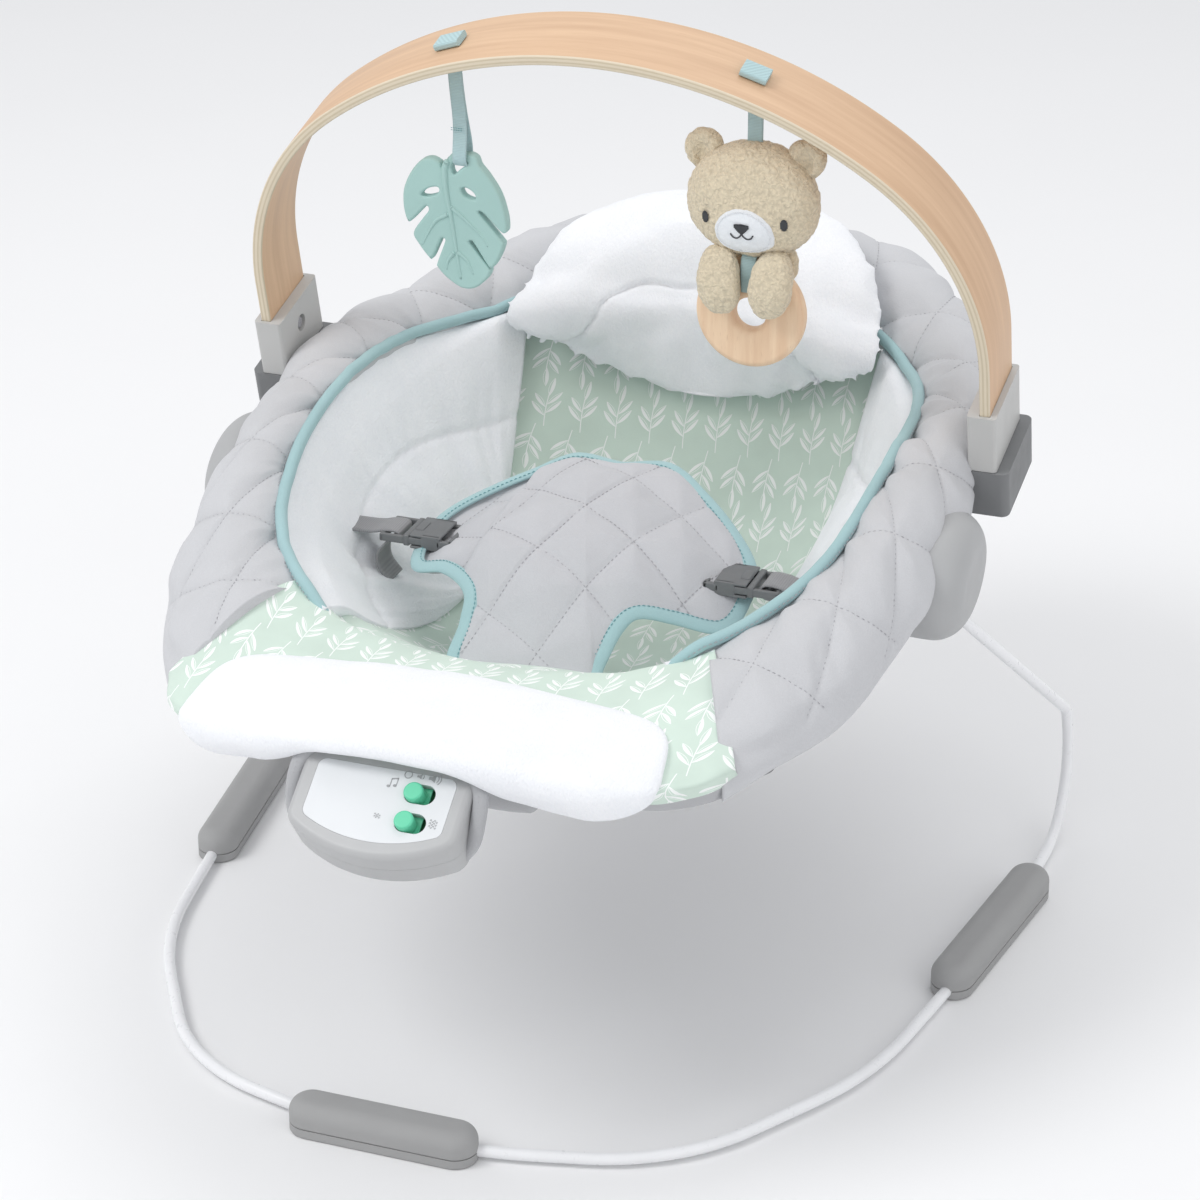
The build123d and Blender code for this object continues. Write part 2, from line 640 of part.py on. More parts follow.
def make_unit(hoop):
    """The battery-powered sound and vibration unit, hung on the front hoop by two lugs."""
    margin = BEZEL_MARGIN
    outer = unit_outline(margin)
    bezel = Pos(0, 0, -BEZEL_DEPTH) * extrude(outer, BEZEL_DEPTH)
    bezel = fillet(bezel.edges().group_by(Axis.Z)[-1], 4)
    bezel -= Pos(0, 0, -2.2) * extrude(unit_outline(0.15), 5)
    bezel -= Pos(0, 0, -BEZEL_DEPTH - 1) * extrude(unit_outline(margin - WALL), BEZEL_DEPTH + 1 - 4.4)
    case = Pos(0, 0, -CASE_DEPTH) * extrude(outer, CASE_DEPTH - BEZEL_DEPTH - 0.2)
    case = fillet(case.edges().group_by(Axis.Z)[0], 6)
    case -= Pos(0, 0, -CASE_DEPTH + WALL) * extrude(unit_outline(margin - WALL - 0.4), CASE_DEPTH)
    for side in SIDES.values():
        x = sorted((side * (LUG_X - 5), side * (LUG_X + 5)))
        case += block(x, (PLATE_SIDE / 2 + margin - WALL, LUG_TOP), (-CASE_DEPTH, -CASE_DEPTH + 12))
    case -= FACE.to_local_coords(SEAT * hoop)
    case -= block(DOOR_X, DOOR_V, (-CASE_DEPTH - 1, -CASE_DEPTH + WALL + 1))
    door_x, door_v = (DOOR_X[0] + GAP, DOOR_X[1] - GAP), (DOOR_V[0] + GAP, DOOR_V[1] - GAP)
    door = block(door_x, door_v, (-CASE_DEPTH, -CASE_DEPTH + WALL))
    save("battery_door", FACE * door)

    plate = Pos(0, 0, -2) * extrude(unit_outline(0), 2)
    for name, (x, v) in KNOBS.items():
        centre = x + KNOB_TRAVEL / 2
        slot = Pos(centre, v) * SlotOverall(2 * KNOB_R + KNOB_TRAVEL + 0.8, 2 * KNOB_R + 0.8)
        through = Pos(0, 0, -8) * extrude(slot, 10)
        plate -= through
        bezel -= through
        knob = Pos(x, v, -1) * Cylinder(KNOB_R, 9)
        knob = fillet(knob.edges().group_by(Axis.Z)[-1], 1.2)
        flange = block((x - 7.5, x + 7.5), (v - 7, v + 7), (-6.2, -4.9))
        save(name, FACE * (knob + flange))
    save("face_plate", FACE * plate)

    screws = []
    for x, v in SCREW_POSTS:
        bezel += rod((x, v, -BEZEL_DEPTH), (x, v, -4), 3.4)
        bezel -= rod((x, v, -BEZEL_DEPTH - 1), (x, v, -5), 1.5)
        sleeve = rod((x, v, -CASE_DEPTH), (x, v, -BEZEL_DEPTH - 0.2), 4.6)
        case += sleeve
        case -= rod((x, v, -CASE_DEPTH - 1), (x, v, -BEZEL_DEPTH - 3), 3.8)
        case -= rod((x, v, -CASE_DEPTH - 1), (x, v, 0), 1.9)
        shank = rod((x, v, -BEZEL_DEPTH - 4), (x, v, -6), 1.4)
        head = rod((x, v, -BEZEL_DEPTH - 6), (x, v, -BEZEL_DEPTH - 3.2), 3.2)
        screws.append(FACE * (shank + head))
    save("control_bezel", FACE * bezel)
    save("control_case", FACE * biggest(case))

    save("circuit_board", FACE * block(*BOARD))
    cells = [rod((CELL_X[0], v, CELL_W), (CELL_X[1], v, CELL_W), CELL_R) for v in CELL_V]
    save("batteries", *[FACE * cell for cell in cells])
    x, v = SPEAKER
    speaker = rod((x, v, -27), (x, v, -20), 13) + rod((x, v, -20.5), (x, v, -14), 8)
    save("speaker", FACE * speaker)
    v, w = MOTOR
    motor = rod((-10, v, w), (6, v, w), 4.5) + rod((6, v, w), (12, v, w), 0.9)
    save("vibration_motor", FACE * motor)
    weight = rod((7, v, w), (11, v, w), 4.2)
    weight -= block((6, 12), (v + 0.8, v + 10), (w - 10, w + 10))
    weight -= rod((5, v, w), (13, v, w), 0.95)
    save("motor_weight", FACE * biggest(weight))
    return screws


if __name__ == "__main__":
    os.makedirs("parts", exist_ok=True)
    legs = make_base()
    hoops = make_hoops()
    screws = make_hubs(hoops, legs)
    make_bar()
    make_leaf()
    make_bear()
    make_ring(hoops)
    make_bucket()
    make_pillow()
    make_foot_patch()
    make_harness()
    screws += make_unit(hoops["front_hoop"])
    save("case_screws", *screws)
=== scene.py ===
"""Infant bouncer with a padded oval seat, a sprung wire base and a wooden toy bar.

Lengths in this script are millimetres in the row frame and become metres when a mesh is made.
The seat's soft parts are laid out in the seat plane: x across, v towards the head, w out of the seat.
"""
import json
import math

import bmesh
import bpy
import numpy as np
from mathutils import Matrix, Vector


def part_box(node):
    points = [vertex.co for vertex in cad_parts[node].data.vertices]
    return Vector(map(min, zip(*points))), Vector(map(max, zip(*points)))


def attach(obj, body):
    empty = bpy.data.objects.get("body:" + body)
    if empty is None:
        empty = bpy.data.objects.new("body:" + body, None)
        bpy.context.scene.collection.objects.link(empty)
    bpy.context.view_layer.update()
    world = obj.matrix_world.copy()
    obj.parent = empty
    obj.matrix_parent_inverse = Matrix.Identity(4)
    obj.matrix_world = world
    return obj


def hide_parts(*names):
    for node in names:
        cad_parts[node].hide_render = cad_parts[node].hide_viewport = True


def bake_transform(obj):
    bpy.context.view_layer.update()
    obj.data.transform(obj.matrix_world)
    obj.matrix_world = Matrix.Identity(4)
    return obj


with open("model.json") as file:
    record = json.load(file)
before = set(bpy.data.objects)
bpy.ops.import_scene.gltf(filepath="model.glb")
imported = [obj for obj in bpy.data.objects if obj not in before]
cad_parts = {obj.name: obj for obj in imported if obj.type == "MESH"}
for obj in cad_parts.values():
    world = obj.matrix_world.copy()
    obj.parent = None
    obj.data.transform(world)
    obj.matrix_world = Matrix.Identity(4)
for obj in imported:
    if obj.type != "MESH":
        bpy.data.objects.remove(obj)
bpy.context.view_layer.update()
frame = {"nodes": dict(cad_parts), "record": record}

MM = 0.001
SEAT_ORIGIN = (0.0, 28.0, 281.8)
SEAT_TILT = math.radians(9.65)
BAR_ORIGIN = (0.0, 62.0, 284.5)
BAR_LEAN = math.radians(13.9)
FACE_ORIGIN = (0.0, -314.0, 235.0)
FACE_TILT = math.radians(36)
SIDES = {"left": -1, "right": 1}
CURVE_STEPS = 24  # points worked out between two given points of a curve


# ---------------------------------------------------------------- numbers and curves
def seat(p):
    """Points (x, v, w) of the seat plane, in the row frame."""
    p = np.asarray(p, float)
    c, s = math.cos(SEAT_TILT), math.sin(SEAT_TILT)
    x, v, w = p[..., 0], p[..., 1], p[..., 2]
    return np.stack([x, SEAT_ORIGIN[1] + v * c - w * s, SEAT_ORIGIN[2] + v * s + w * c], -1)


def bar(p):
    """Points (x, u, w) of the toy bar's plane: x across, u up the bar, w towards the back."""
    p = np.asarray(p, float)
    c, s = math.cos(BAR_LEAN), math.sin(BAR_LEAN)
    x, u, w = p[..., 0], p[..., 1], p[..., 2]
    return np.stack([x, BAR_ORIGIN[1] - u * s + w * c, BAR_ORIGIN[2] + u * c + w * s], -1)


def face(p):
    """Points (x, t, n) of the control unit's face: x across, t up the face, n out of it."""
    p = np.asarray(p, float)
    c, s = math.cos(FACE_TILT), math.sin(FACE_TILT)
    x, t, n = p[..., 0], p[..., 1], p[..., 2]
    return np.stack([x, FACE_ORIGIN[1] + t * c - n * s, FACE_ORIGIN[2] + t * s + n * c], -1)


def running_length(line):
    """The length from the start of a line to each of its points."""
    return np.concatenate([[0], np.cumsum(np.linalg.norm(np.diff(line, axis=0), axis=1))])


def curve_point(a, b, c, d, t):
    """The point a share t of the way from b to c, on a smooth curve through a, b, c and d."""
    return b + t * (c - a) / 2 + t**2 * (a - 2.5 * b + 2 * c - d / 2) + t**3 * (1.5 * (b - c) + (d - a) / 2)


def through(points, count, closed=False):
    """A smooth curve through points, sampled evenly along its length."""
    p = np.asarray(points, float)
    if closed:
        p = np.vstack([p[-1], p, p[0], p[1]])
    else:
        p = np.vstack([2 * p[0] - p[1], p, 2 * p[-1] - p[-2]])
    t = np.linspace(0, 1, CURVE_STEPS, endpoint=False)[:, None]
    fine = [curve_point(a, b, c, d, t) for a, b, c, d in zip(p[:-3], p[1:-2], p[2:-1], p[3:])]
    fine = np.vstack(fine + [p[-2][None]])
    along = running_length(fine)
    want = np.linspace(0, along[-1], count, endpoint=not closed)
    return np.stack([np.interp(want, along, fine[:, k]) for k in range(p.shape[1])], -1)


def across(rows, count):
    """Adds smooth rows between the given rows of points."""
    rows = np.asarray(rows, float)
    flat = rows.reshape(len(rows), -1)
    p = np.vstack([2 * flat[0] - flat[1], flat, 2 * flat[-1] - flat[-2]])
    want = np.linspace(0, len(rows) - 1, count)
    index = np.minimum(want.astype(int), len(rows) - 2)
    t = (want - index)[:, None]
    out = curve_point(p[index], p[index + 1], p[index + 2], p[index + 3], t)
    return out.reshape(count, *rows.shape[1:])


def lattice(p, seed=0):
    """Smooth noise from -1 to 1 at points p, with features about one unit wide."""
    p = np.asarray(p, float) + 1000.0 + seed * 17.3
    base = np.floor(p).astype(np.int64)
    t = p - base
    t = t * t * (3 - 2 * t)
    total = np.zeros(p.shape[:-1])
    for i in (0, 1):
        for j in (0, 1):
            for k in (0, 1):
                n = (base[..., 0] + i) * 374761393 + (base[..., 1] + j) * 668265263
                n = n + (base[..., 2] + k) * 2147483647 + seed * 1274126177
                n = (n ^ (n >> 13)) * 1274126177 & 0xFFFFFFFF
                value = (n ^ (n >> 16)) & 0xFFFF
                share = (t[..., 0] if i else 1 - t[..., 0]) * (t[..., 1] if j else 1 - t[..., 1])
                share = share * (t[..., 2] if k else 1 - t[..., 2])
                total += share * (value / 32767.5 - 1)
    return total


def ripples(u, v, u_size, v_size, seed):
    """Smooth noise from -1 to 1 over a cloth, with features of the given size along u and v."""
    u, v = np.broadcast_arrays(u / u_size, v / v_size)
    return lattice(np.stack([u, v, 0 * u], -1), seed)


def bump_line(distance, width):
    """One where distance is zero, falling smoothly to nothing over width."""
    return np.exp(-((distance / width) ** 2))


def smooth(x, low, high):
    """A smooth step from 0 at low to 1 at high."""
    t = np.clip((x - low) / (high - low), 0, 1)
    return t * t * (3 - 2 * t)


def grid_normals(p, closed_v=False, closed_u=False):
    """Unit normals of a grid of points."""

    def slope(a, axis, closed):
        if closed:
            return np.roll(a, -1, axis) - np.roll(a, 1, axis)
        return np.gradient(a, axis=axis)
    n = np.cross(slope(p, 0, closed_u), slope(p, 1, closed_v))
    length = np.linalg.norm(n, axis=-1, keepdims=True)
    return n / np.maximum(length, 1e-9)


def turned_to(n, towards):
    """The normals n, all flipped if on the whole they point against the directions given."""
    return n if np.sum(n * towards) >= 0 else -n


def outward_normals(p):
    """Normals of a grid closed in its second way, each turned away from the middle of its row."""
    n = grid_normals(p, closed_v=True)
    middle = p.mean(1, keepdims=True)
    return n * np.sign(np.sum(n * (p - middle), axis=-1, keepdims=True))


def row_lengths(p):
    """How far along its row each point of a grid closed in its second way lies."""
    step = np.linalg.norm(np.roll(p, -1, 1) - p, axis=-1)
    return np.cumsum(step, axis=1) - step


def mirrored(half):
    """A whole line from its half on the positive side of x, which starts at x = 0."""
    half = np.asarray(half, float)
    return np.vstack([half[1:][::-1] * np.array([-1, 1, 1]), half])


def moved(line, dv, dw):
    """A copy of a line of points, moved by dv and dw."""
    copy = line.copy()
    copy[:, 1] += dv
    copy[:, 2] += dw
    return copy


# ---------------------------------------------------------------- meshes
def link(name, data):
    """A new object in the scene that shows the given mesh, light, curve or camera."""
    obj = bpy.data.objects.new(name, data)
    bpy.context.scene.collection.objects.link(obj)
    return obj


def add_mesh(name, vertices, faces, uv=None, smooth_faces=True):
    """A mesh object from points in millimetres. uv gives each point's place on its cloth."""
    mesh = bpy.data.meshes.new(name)
    mesh.from_pydata((np.asarray(vertices, float) * MM).tolist(), [], faces)
    if uv is not None:
        layer = mesh.uv_layers.new(name="cloth")
        loops = np.zeros(len(mesh.loops), int)
        mesh.loops.foreach_get("vertex_index", loops)
        layer.data.foreach_set("uv", np.asarray(uv, float)[loops].ravel())
    if smooth_faces:
        mesh.shade_smooth()
    else:
        mesh.shade_flat()
    return link(name, mesh)


def fix_normals(obj):
    """Turns every face of a closed mesh outwards."""
    bm = bmesh.new()
    bm.from_mesh(obj.data)
    bmesh.ops.recalc_face_normals(bm, faces=bm.faces)
    bm.to_mesh(obj.data)
    bm.free()


def grid_faces(nu, nv, closed_u=False, closed_v=False):
    """The four-sided faces between the points of an nu by nv grid."""
    faces = []
    for i in range(nu if closed_u else nu - 1):
        for j in range(nv if closed_v else nv - 1):
            a, b = (i + 1) % nu, (j + 1) % nv
            faces.append((i * nv + j, a * nv + j, a * nv + b, i * nv + b))
    return faces


def grid_mesh(name, p, closed_u=False, closed_v=False, uv=None, caps=False):
    """A mesh on a grid of points. Its cloth coordinates are uv, in metres of cloth."""
    nu, nv = p.shape[:2]
    faces = grid_faces(nu, nv, closed_u, closed_v)
    if caps:
        faces.append(tuple(range(nv)))
        faces.append(tuple((nu - 1) * nv + j for j in reversed(range(nv))))
    uv = None if uv is None else uv.reshape(-1, 2)
    return add_mesh(name, p.reshape(-1, 3), faces, uv)


def cloth_lengths(p):
    """Metres of cloth along each way of a grid, measured on its middle row and column."""
    nu, nv = p.shape[:2]
    u = running_length(p[:, nv // 2]) * MM
    v = running_length(p[nu // 2]) * MM
    return np.stack(np.meshgrid(u, v, indexing="ij"), -1)


def shell(name, p, depth, uv=None):
    """A closed padded sheet: the grid p is its face, and depth says how far its back lies behind."""
    n = grid_normals(p)
    nu, nv = p.shape[:2]
    depth = np.broadcast_to(depth, p.shape[:2])[..., None]
    back = p - n * depth
    count = nu * nv
    faces = grid_faces(nu, nv)
    faces += [tuple(i + count for i in reversed(f)) for f in grid_faces(nu, nv)]
    rim = [i * nv for i in range(nu)] + [(nu - 1) * nv + j for j in range(1, nv)]
    rim += [i * nv + nv - 1 for i in reversed(range(nu - 1))] + list(reversed(range(1, nv - 1)))
    for a, b in zip(rim, rim[1:] + rim[:1]):
        faces.append((b, a, a + count, b + count))
    vertices = np.vstack([p.reshape(-1, 3), back.reshape(-1, 3)])
    if uv is not None:
        uv = np.vstack([uv.reshape(-1, 2)] * 2)
    return add_mesh(name, vertices, faces, uv)


def tube(name, line, radius, sides=12, closed=False, flat=1.0, up=None):
    """A round or flattened tube along a line of points, with rounded ends unless closed."""
    line = np.asarray(line, float)
    count = len(line)
    if closed:
        tangent = np.roll(line, -1, 0) - np.roll(line, 1, 0)
    else:
        tangent = np.gradient(line, axis=0)
    tangent /= np.linalg.norm(tangent, axis=1, keepdims=True)
    if up is None:
        side = np.zeros_like(line)
        last = np.cross(tangent[0], (0.31, 0.87, 0.38))
        for i in range(count):
            last = last - tangent[i] * (last @ tangent[i])
            last /= np.linalg.norm(last)
            side[i] = last
        if closed:
            twist = math.atan2(np.cross(side[-1], side[0]) @ tangent[0], side[-1] @ side[0])
            share = np.arange(count) / count * twist
            other = np.cross(tangent, side)
            side = side * np.cos(share)[:, None] + other * np.sin(share)[:, None]
    else:
        up = np.broadcast_to(np.asarray(up, float), line.shape)
        side = np.cross(up, tangent)
        side /= np.linalg.norm(side, axis=1, keepdims=True)
    other = np.cross(tangent, side)
    radius = np.broadcast_to(np.asarray(radius, float), (count,)).copy()
    angle = np.linspace(0, 2 * math.pi, sides, endpoint=False)
    ring = side[:, None] * np.cos(angle)[None, :, None]
    ring = ring + other[:, None] * np.sin(angle)[None, :, None] * flat
    if not closed:
        end = 4
        turn = np.linspace(0.15, 1, end) * math.pi / 2
        grow, reach = np.sin(turn), np.cos(turn)[:, None] * flat
        head = line[0] - tangent[0] * radius[0] * reach
        tail = line[-1] + tangent[-1] * radius[-1] * reach[::-1]
        line = np.vstack([head, line, tail])
        ring = np.concatenate([np.repeat(ring[:1], end, 0), ring, np.repeat(ring[-1:], end, 0)])
        radius = np.concatenate([radius[0] * grow, radius, radius[-1] * grow[::-1]])
    p = line[:, None] + ring * radius[:, None, None]
    uvs = np.stack(np.meshgrid(running_length(line) * MM, angle / (2 * math.pi), indexing="ij"), -1)
    return grid_mesh(name, p, closed, True, uvs, caps=not closed)


def join(name, objs):
    """Joins meshes into the first one."""
    first = objs[0]
    bpy.ops.object.select_all(action="DESELECT")
    for o in objs:
        o.select_set(True)
    bpy.context.view_layer.objects.active = first
    bpy.ops.object.join()
    first.name = name
    first.data.name = name
    return first


def apply_modifiers(obj):
    """Replaces an object's mesh by what its modifiers make of it."""
    bpy.context.view_layer.update()
    graph = bpy.context.evaluated_depsgraph_get()
    mesh = bpy.data.meshes.new_from_object(obj.evaluated_get(graph))
    obj.modifiers.clear()
    obj.data = mesh
    return obj


def modifier(obj, kind, **settings):
    """Adds a modifier with the given settings."""
    m = obj.modifiers.new(kind.lower(), kind)
    for key, value in settings.items():
        setattr(m, key, value)
    return m


def place(obj, body, slot, *replaced):
    """Fixes a piece to a body and hides the CAD nodes it stands for. Its slot argument is not used."""
    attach(obj, body)
    if replaced:
        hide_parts(*replaced)
    return obj


def stitches(name, line, normal, pitch, share, radius, lift):
    """A row of short threads along a line of points on a surface.

    share is the thread's part of the pitch, and lift is how far it stands off the surface.
    normal is one direction for all or one for each point.
    """
    line = np.asarray(line, float)
    normal = np.broadcast_to(np.asarray(normal, float), line.shape)
    along = running_length(line)
    count = max(1, int(along[-1] / pitch))
    vertices, faces = [], []
    for i in range(count):
        middle = (i + 0.5) * pitch
        ends = []
        for s in (middle - pitch * share / 2, middle, middle + pitch * share / 2):
            p = np.array([np.interp(s, along, line[:, k]) for k in range(3)])
            n = np.array([np.interp(s, along, normal[:, k]) for k in range(3)])
            ends.append((p, n / np.linalg.norm(n)))
        direction = ends[2][0] - ends[0][0]
        direction /= np.linalg.norm(direction)
        base = len(vertices)
        for k, (p, n) in enumerate(ends):
            rise = lift + (0.35 * radius if k == 1 else -0.8 * radius)
            sideways = np.cross(n, direction)
            width = radius if k == 1 else radius * 0.6
            for a in range(6):
                angle = a * math.pi / 3
                vertices.append(p + n * (rise + width * math.sin(angle)) + sideways * width * math.cos(angle))
        for k in range(2):
            for a in range(6):
                b = (a + 1) % 6
                faces.append((base + k * 6 + a, base + k * 6 + b, base + k * 6 + 6 + b, base + k * 6 + 6 + a))
        faces.append(tuple(base + a for a in reversed(range(6))))
        faces.append(tuple(base + 12 + a for a in range(6)))
    return add_mesh(name, vertices, faces)


# ---------------------------------------------------------------- materials
class Look:
    """A small builder for one procedural material."""

    def __init__(self, name, roughness=0.8, **sockets):
        self.material = bpy.data.materials.new(name)
        self.material.use_nodes = True
        self.tree = self.material.node_tree
        self.shader = self.tree.nodes["Principled BSDF"]
        self.shader.inputs["Roughness"].default_value = roughness
        for key, value in sockets.items():
            self.shader.inputs[key.replace("_", " ")].default_value = value
        self.place = self.node("ShaderNodeTexCoord").outputs["Object"]

    def node(self, kind, inputs=None, **settings):
        made = self.tree.nodes.new(kind)
        for key, value in settings.items():
            setattr(made, key, value)
        for key, value in (inputs or {}).items():
            self.feed(made.inputs[key], value)
        return made

    def feed(self, socket, value):
        if isinstance(value, bpy.types.NodeSocket):
            self.tree.links.new(value, socket)
        else:
            socket.default_value = value

    def stretch(self, scale, vector=None):
        return self.node("ShaderNodeMapping", {"Vector": vector or self.place, "Scale": scale}).outputs[0]

    def noise(self, scale, detail=3.0, rough=0.55, vector=None):
        inputs = {"Vector": vector or self.place, "Scale": scale, "Detail": detail, "Roughness": rough}
        return self.node("ShaderNodeTexNoise", inputs).outputs["Fac"]

    def cells(self, scale, vector=None, feature="F1"):
        inputs = {"Vector": vector or self.place, "Scale": scale}
        return self.node("ShaderNodeTexVoronoi", inputs, feature=feature).outputs["Distance"]

    def math(self, operation, a, b=0.0, clamp=False):
        made = self.node("ShaderNodeMath", {0: a, 1: b}, operation=operation)
        made.use_clamp = clamp
        return made.outputs[0]

    def span(self, value, low, high, to_low=0.0, to_high=1.0):
        inputs = {"Value": value, "From Min": low, "From Max": high, "To Min": to_low, "To Max": to_high}
        return self.node("ShaderNodeMapRange", inputs).outputs[0]

    def mix(self, share, a, b):
        made = self.node("ShaderNodeMix", data_type="RGBA")
        self.feed(made.inputs[0], share)
        self.feed(made.inputs[6], a)
        self.feed(made.inputs[7], b)
        return made.outputs[2]

    def colour(self, value):
        self.feed(self.shader.inputs["Base Color"], value)

    def shades(self, value, low, high, dark, light):
        """Colours the surface from dark to light as value goes from low to high."""
        self.colour(self.mix(self.span(value, low, high), dark, light))

    def polish(self, value, smoothest, roughest):
        """Varies the roughness with a noise value."""
        self.feed(self.shader.inputs["Roughness"], self.span(value, 0.3, 0.7, smoothest, roughest))

    def bump(self, height, distance, strength=1.0, under=None):
        inputs = {"Height": height, "Distance": distance, "Strength": strength}
        if under is not None:
            inputs["Normal"] = under
        made = self.node("ShaderNodeBump", inputs).outputs[0]
        self.feed(self.shader.inputs["Normal"], made)
        return made


def shade(colour, factor):
    """The colour made lighter or darker by a factor."""
    return tuple(min(1.0, c * factor) for c in colour[:3]) + (1.0,)


def brushed_cloth(name, colour, grain=1500, nap=0.00012):
    """A smooth brushed weave: fine threads, faint cloudy variation, a soft sheen."""
    look = Look(name, 0.85, Sheen_Weight=0.18, Sheen_Roughness=0.5)
    cloud = look.noise(22, 3)
    thread = look.noise(grain, 2, 0.7)
    blend = look.math("ADD", look.math("MULTIPLY", cloud, 0.45), look.math("MULTIPLY", thread, 0.55))
    look.shades(blend, 0.3, 0.7, shade(colour, 0.93), shade(colour, 1.05))
    warp = look.noise(1.0, 1, 0.5, look.stretch((grain * 0.9, grain * 0.25, grain * 0.9)))
    weft = look.noise(1.0, 1, 0.5, look.stretch((grain * 0.25, grain * 0.9, grain * 0.9)))
    first = look.bump(look.math("ADD", warp, weft), nap)
    look.bump(look.noise(60, 4), 0.0006, 0.5, first)
    return look.material


def plush(name, colour, hollow_shade, pile=900, depth=0.0006):
    """Short pile that lies in soft brushed patches, painted a little darker and cooler in its hollows as
    shade.
    """
    look = Look(name, 0.95, Sheen_Weight=0.35, Sheen_Roughness=0.6)
    patch = look.noise(35, 4, 0.6)
    fibre = look.noise(1.0, 3, 0.65, look.stretch((pile, pile * 0.45, pile * 0.6)))
    blend = look.math("ADD", look.math("MULTIPLY", patch, 0.5), look.math("MULTIPLY", fibre, 0.5))
    # Painted shade: where the fibre and patch noises of the bump are low, the colour goes to the darker,
    # bluer hollow shade colour.
    look.shades(blend, 0.32, 0.68, hollow_shade, colour)
    first = look.bump(fibre, depth)
    look.bump(patch, 0.0012, 0.4, first)
    return look.material


def sherpa(name, colour):
    """Curled bouclé pile, painted darker between its curls as shade and lighter on their tops as painted
    light.
    """
    look = Look(name, 0.95, Sheen_Weight=0.3, Sheen_Roughness=0.5)
    warped = look.node("ShaderNodeVectorMath", {0: look.place}, operation="ADD")
    swirl = look.node("ShaderNodeTexNoise", {"Vector": look.place, "Scale": 260.0, "Detail": 2.0})
    small = look.node("ShaderNodeVectorMath", {0: swirl.outputs["Color"]}, operation="SCALE")
    small.inputs["Scale"].default_value = 0.004
    look.feed(warped.inputs[1], small.outputs[0])
    curl = look.cells(620, warped.outputs[0], "SMOOTH_F1")
    fine = look.noise(1800, 2, 0.6)
    height = look.math("SUBTRACT", look.math("MULTIPLY", fine, 0.4), curl)
    # Painted shade and light: the gaps between curls, low in the bump, are coloured darker and the curl tops
    # lighter.
    look.shades(curl, 0.1, 0.75, shade(colour, 1.08), shade(colour, 0.78))
    look.bump(height, 0.0011)
    return look.material


def moulded(name, colour, roughness=0.5, grain=2600, depth=0.00003):
    """Fine-textured moulded plastic or rubber."""
    look = Look(name, roughness)
    look.shades(look.noise(18, 2), 0.35, 0.65, shade(colour, 0.97), shade(colour, 1.02))
    look.polish(look.noise(90, 3), roughness - 0.06, roughness + 0.06)
    look.bump(look.noise(grain, 2), depth)
    return look.material


def powder_coat(name, colour):
    """Smooth satin paint on steel wire."""
    look = Look(name, 0.32, Coat_Weight=0.15, Coat_Roughness=0.2)
    look.shades(look.noise(40, 2), 0.35, 0.65, shade(colour, 0.97), shade(colour, 1.0))
    look.polish(look.noise(300, 2), 0.26, 0.38)
    look.bump(look.noise(700, 2), 0.00002, 0.3)
    return look.material


def steel(name, colour, roughness=0.3):
    """Bare metal with fine streaks along x."""
    look = Look(name, roughness, Metallic=1.0)
    streak = look.noise(1.0, 3, 0.6, look.stretch((300, 3000, 3000)))
    look.shades(streak, 0.3, 0.7, shade(colour, 0.85), shade(colour, 1.05))
    look.polish(streak, roughness - 0.08, roughness + 0.1)
    return look.material


def beech(name, light, dark, along, bent=False):
    """Beech: fine short dark flecks and soft bands along the grain.

    along squeezes the noise least in the direction of the grain. Bent wood takes it from the mesh's UV.
    """
    look = Look(name, 0.48, Specular_IOR_Level=0.35)
    where = look.node("ShaderNodeTexCoord").outputs["UV"] if bent else look.place
    band = look.noise(1.0, 4, 0.55, look.stretch(tuple(160 * k for k in along), where))
    fleck = look.noise(1.0, 2, 0.5, look.stretch(tuple(2300 * k for k in along), where))
    tone = look.mix(look.span(band, 0.3, 0.72), dark, light)
    look.colour(look.mix(look.span(fleck, 0.63, 0.75, 0.0, 0.45), tone, (0.55, 0.34, 0.21, 1)))
    look.polish(band, 0.42, 0.55)
    look.bump(fleck, 0.00005, 0.6)
    return look.material


def plies(name):
    """The sawn edge of bent plywood: thin pale and darker layers across the thickness."""
    look = Look(name, 0.6)
    where = look.node("ShaderNodeTexCoord").outputs["UV"]
    split = look.node("ShaderNodeSeparateXYZ", {0: where})
    layer = look.math("PINGPONG", look.math("MULTIPLY", split.outputs[1], 5.0), 1.0)
    layer = look.math("ADD", layer, look.math("MULTIPLY", look.noise(40, 2), 0.3))
    look.shades(layer, 0.35, 0.75, (0.60, 0.51, 0.37, 1), (0.72, 0.63, 0.49, 1))
    look.bump(look.noise(1.0, 2, 0.5, look.stretch((60, 900, 1), where)), 0.00012, 0.6)
    return look.material


LEAF_FILLED_TO = 0.25  # share of the half width, from the midrib, up to which a leaf is filled
LEAF_LINE = 0.32  # width of a leaf's outline in mm


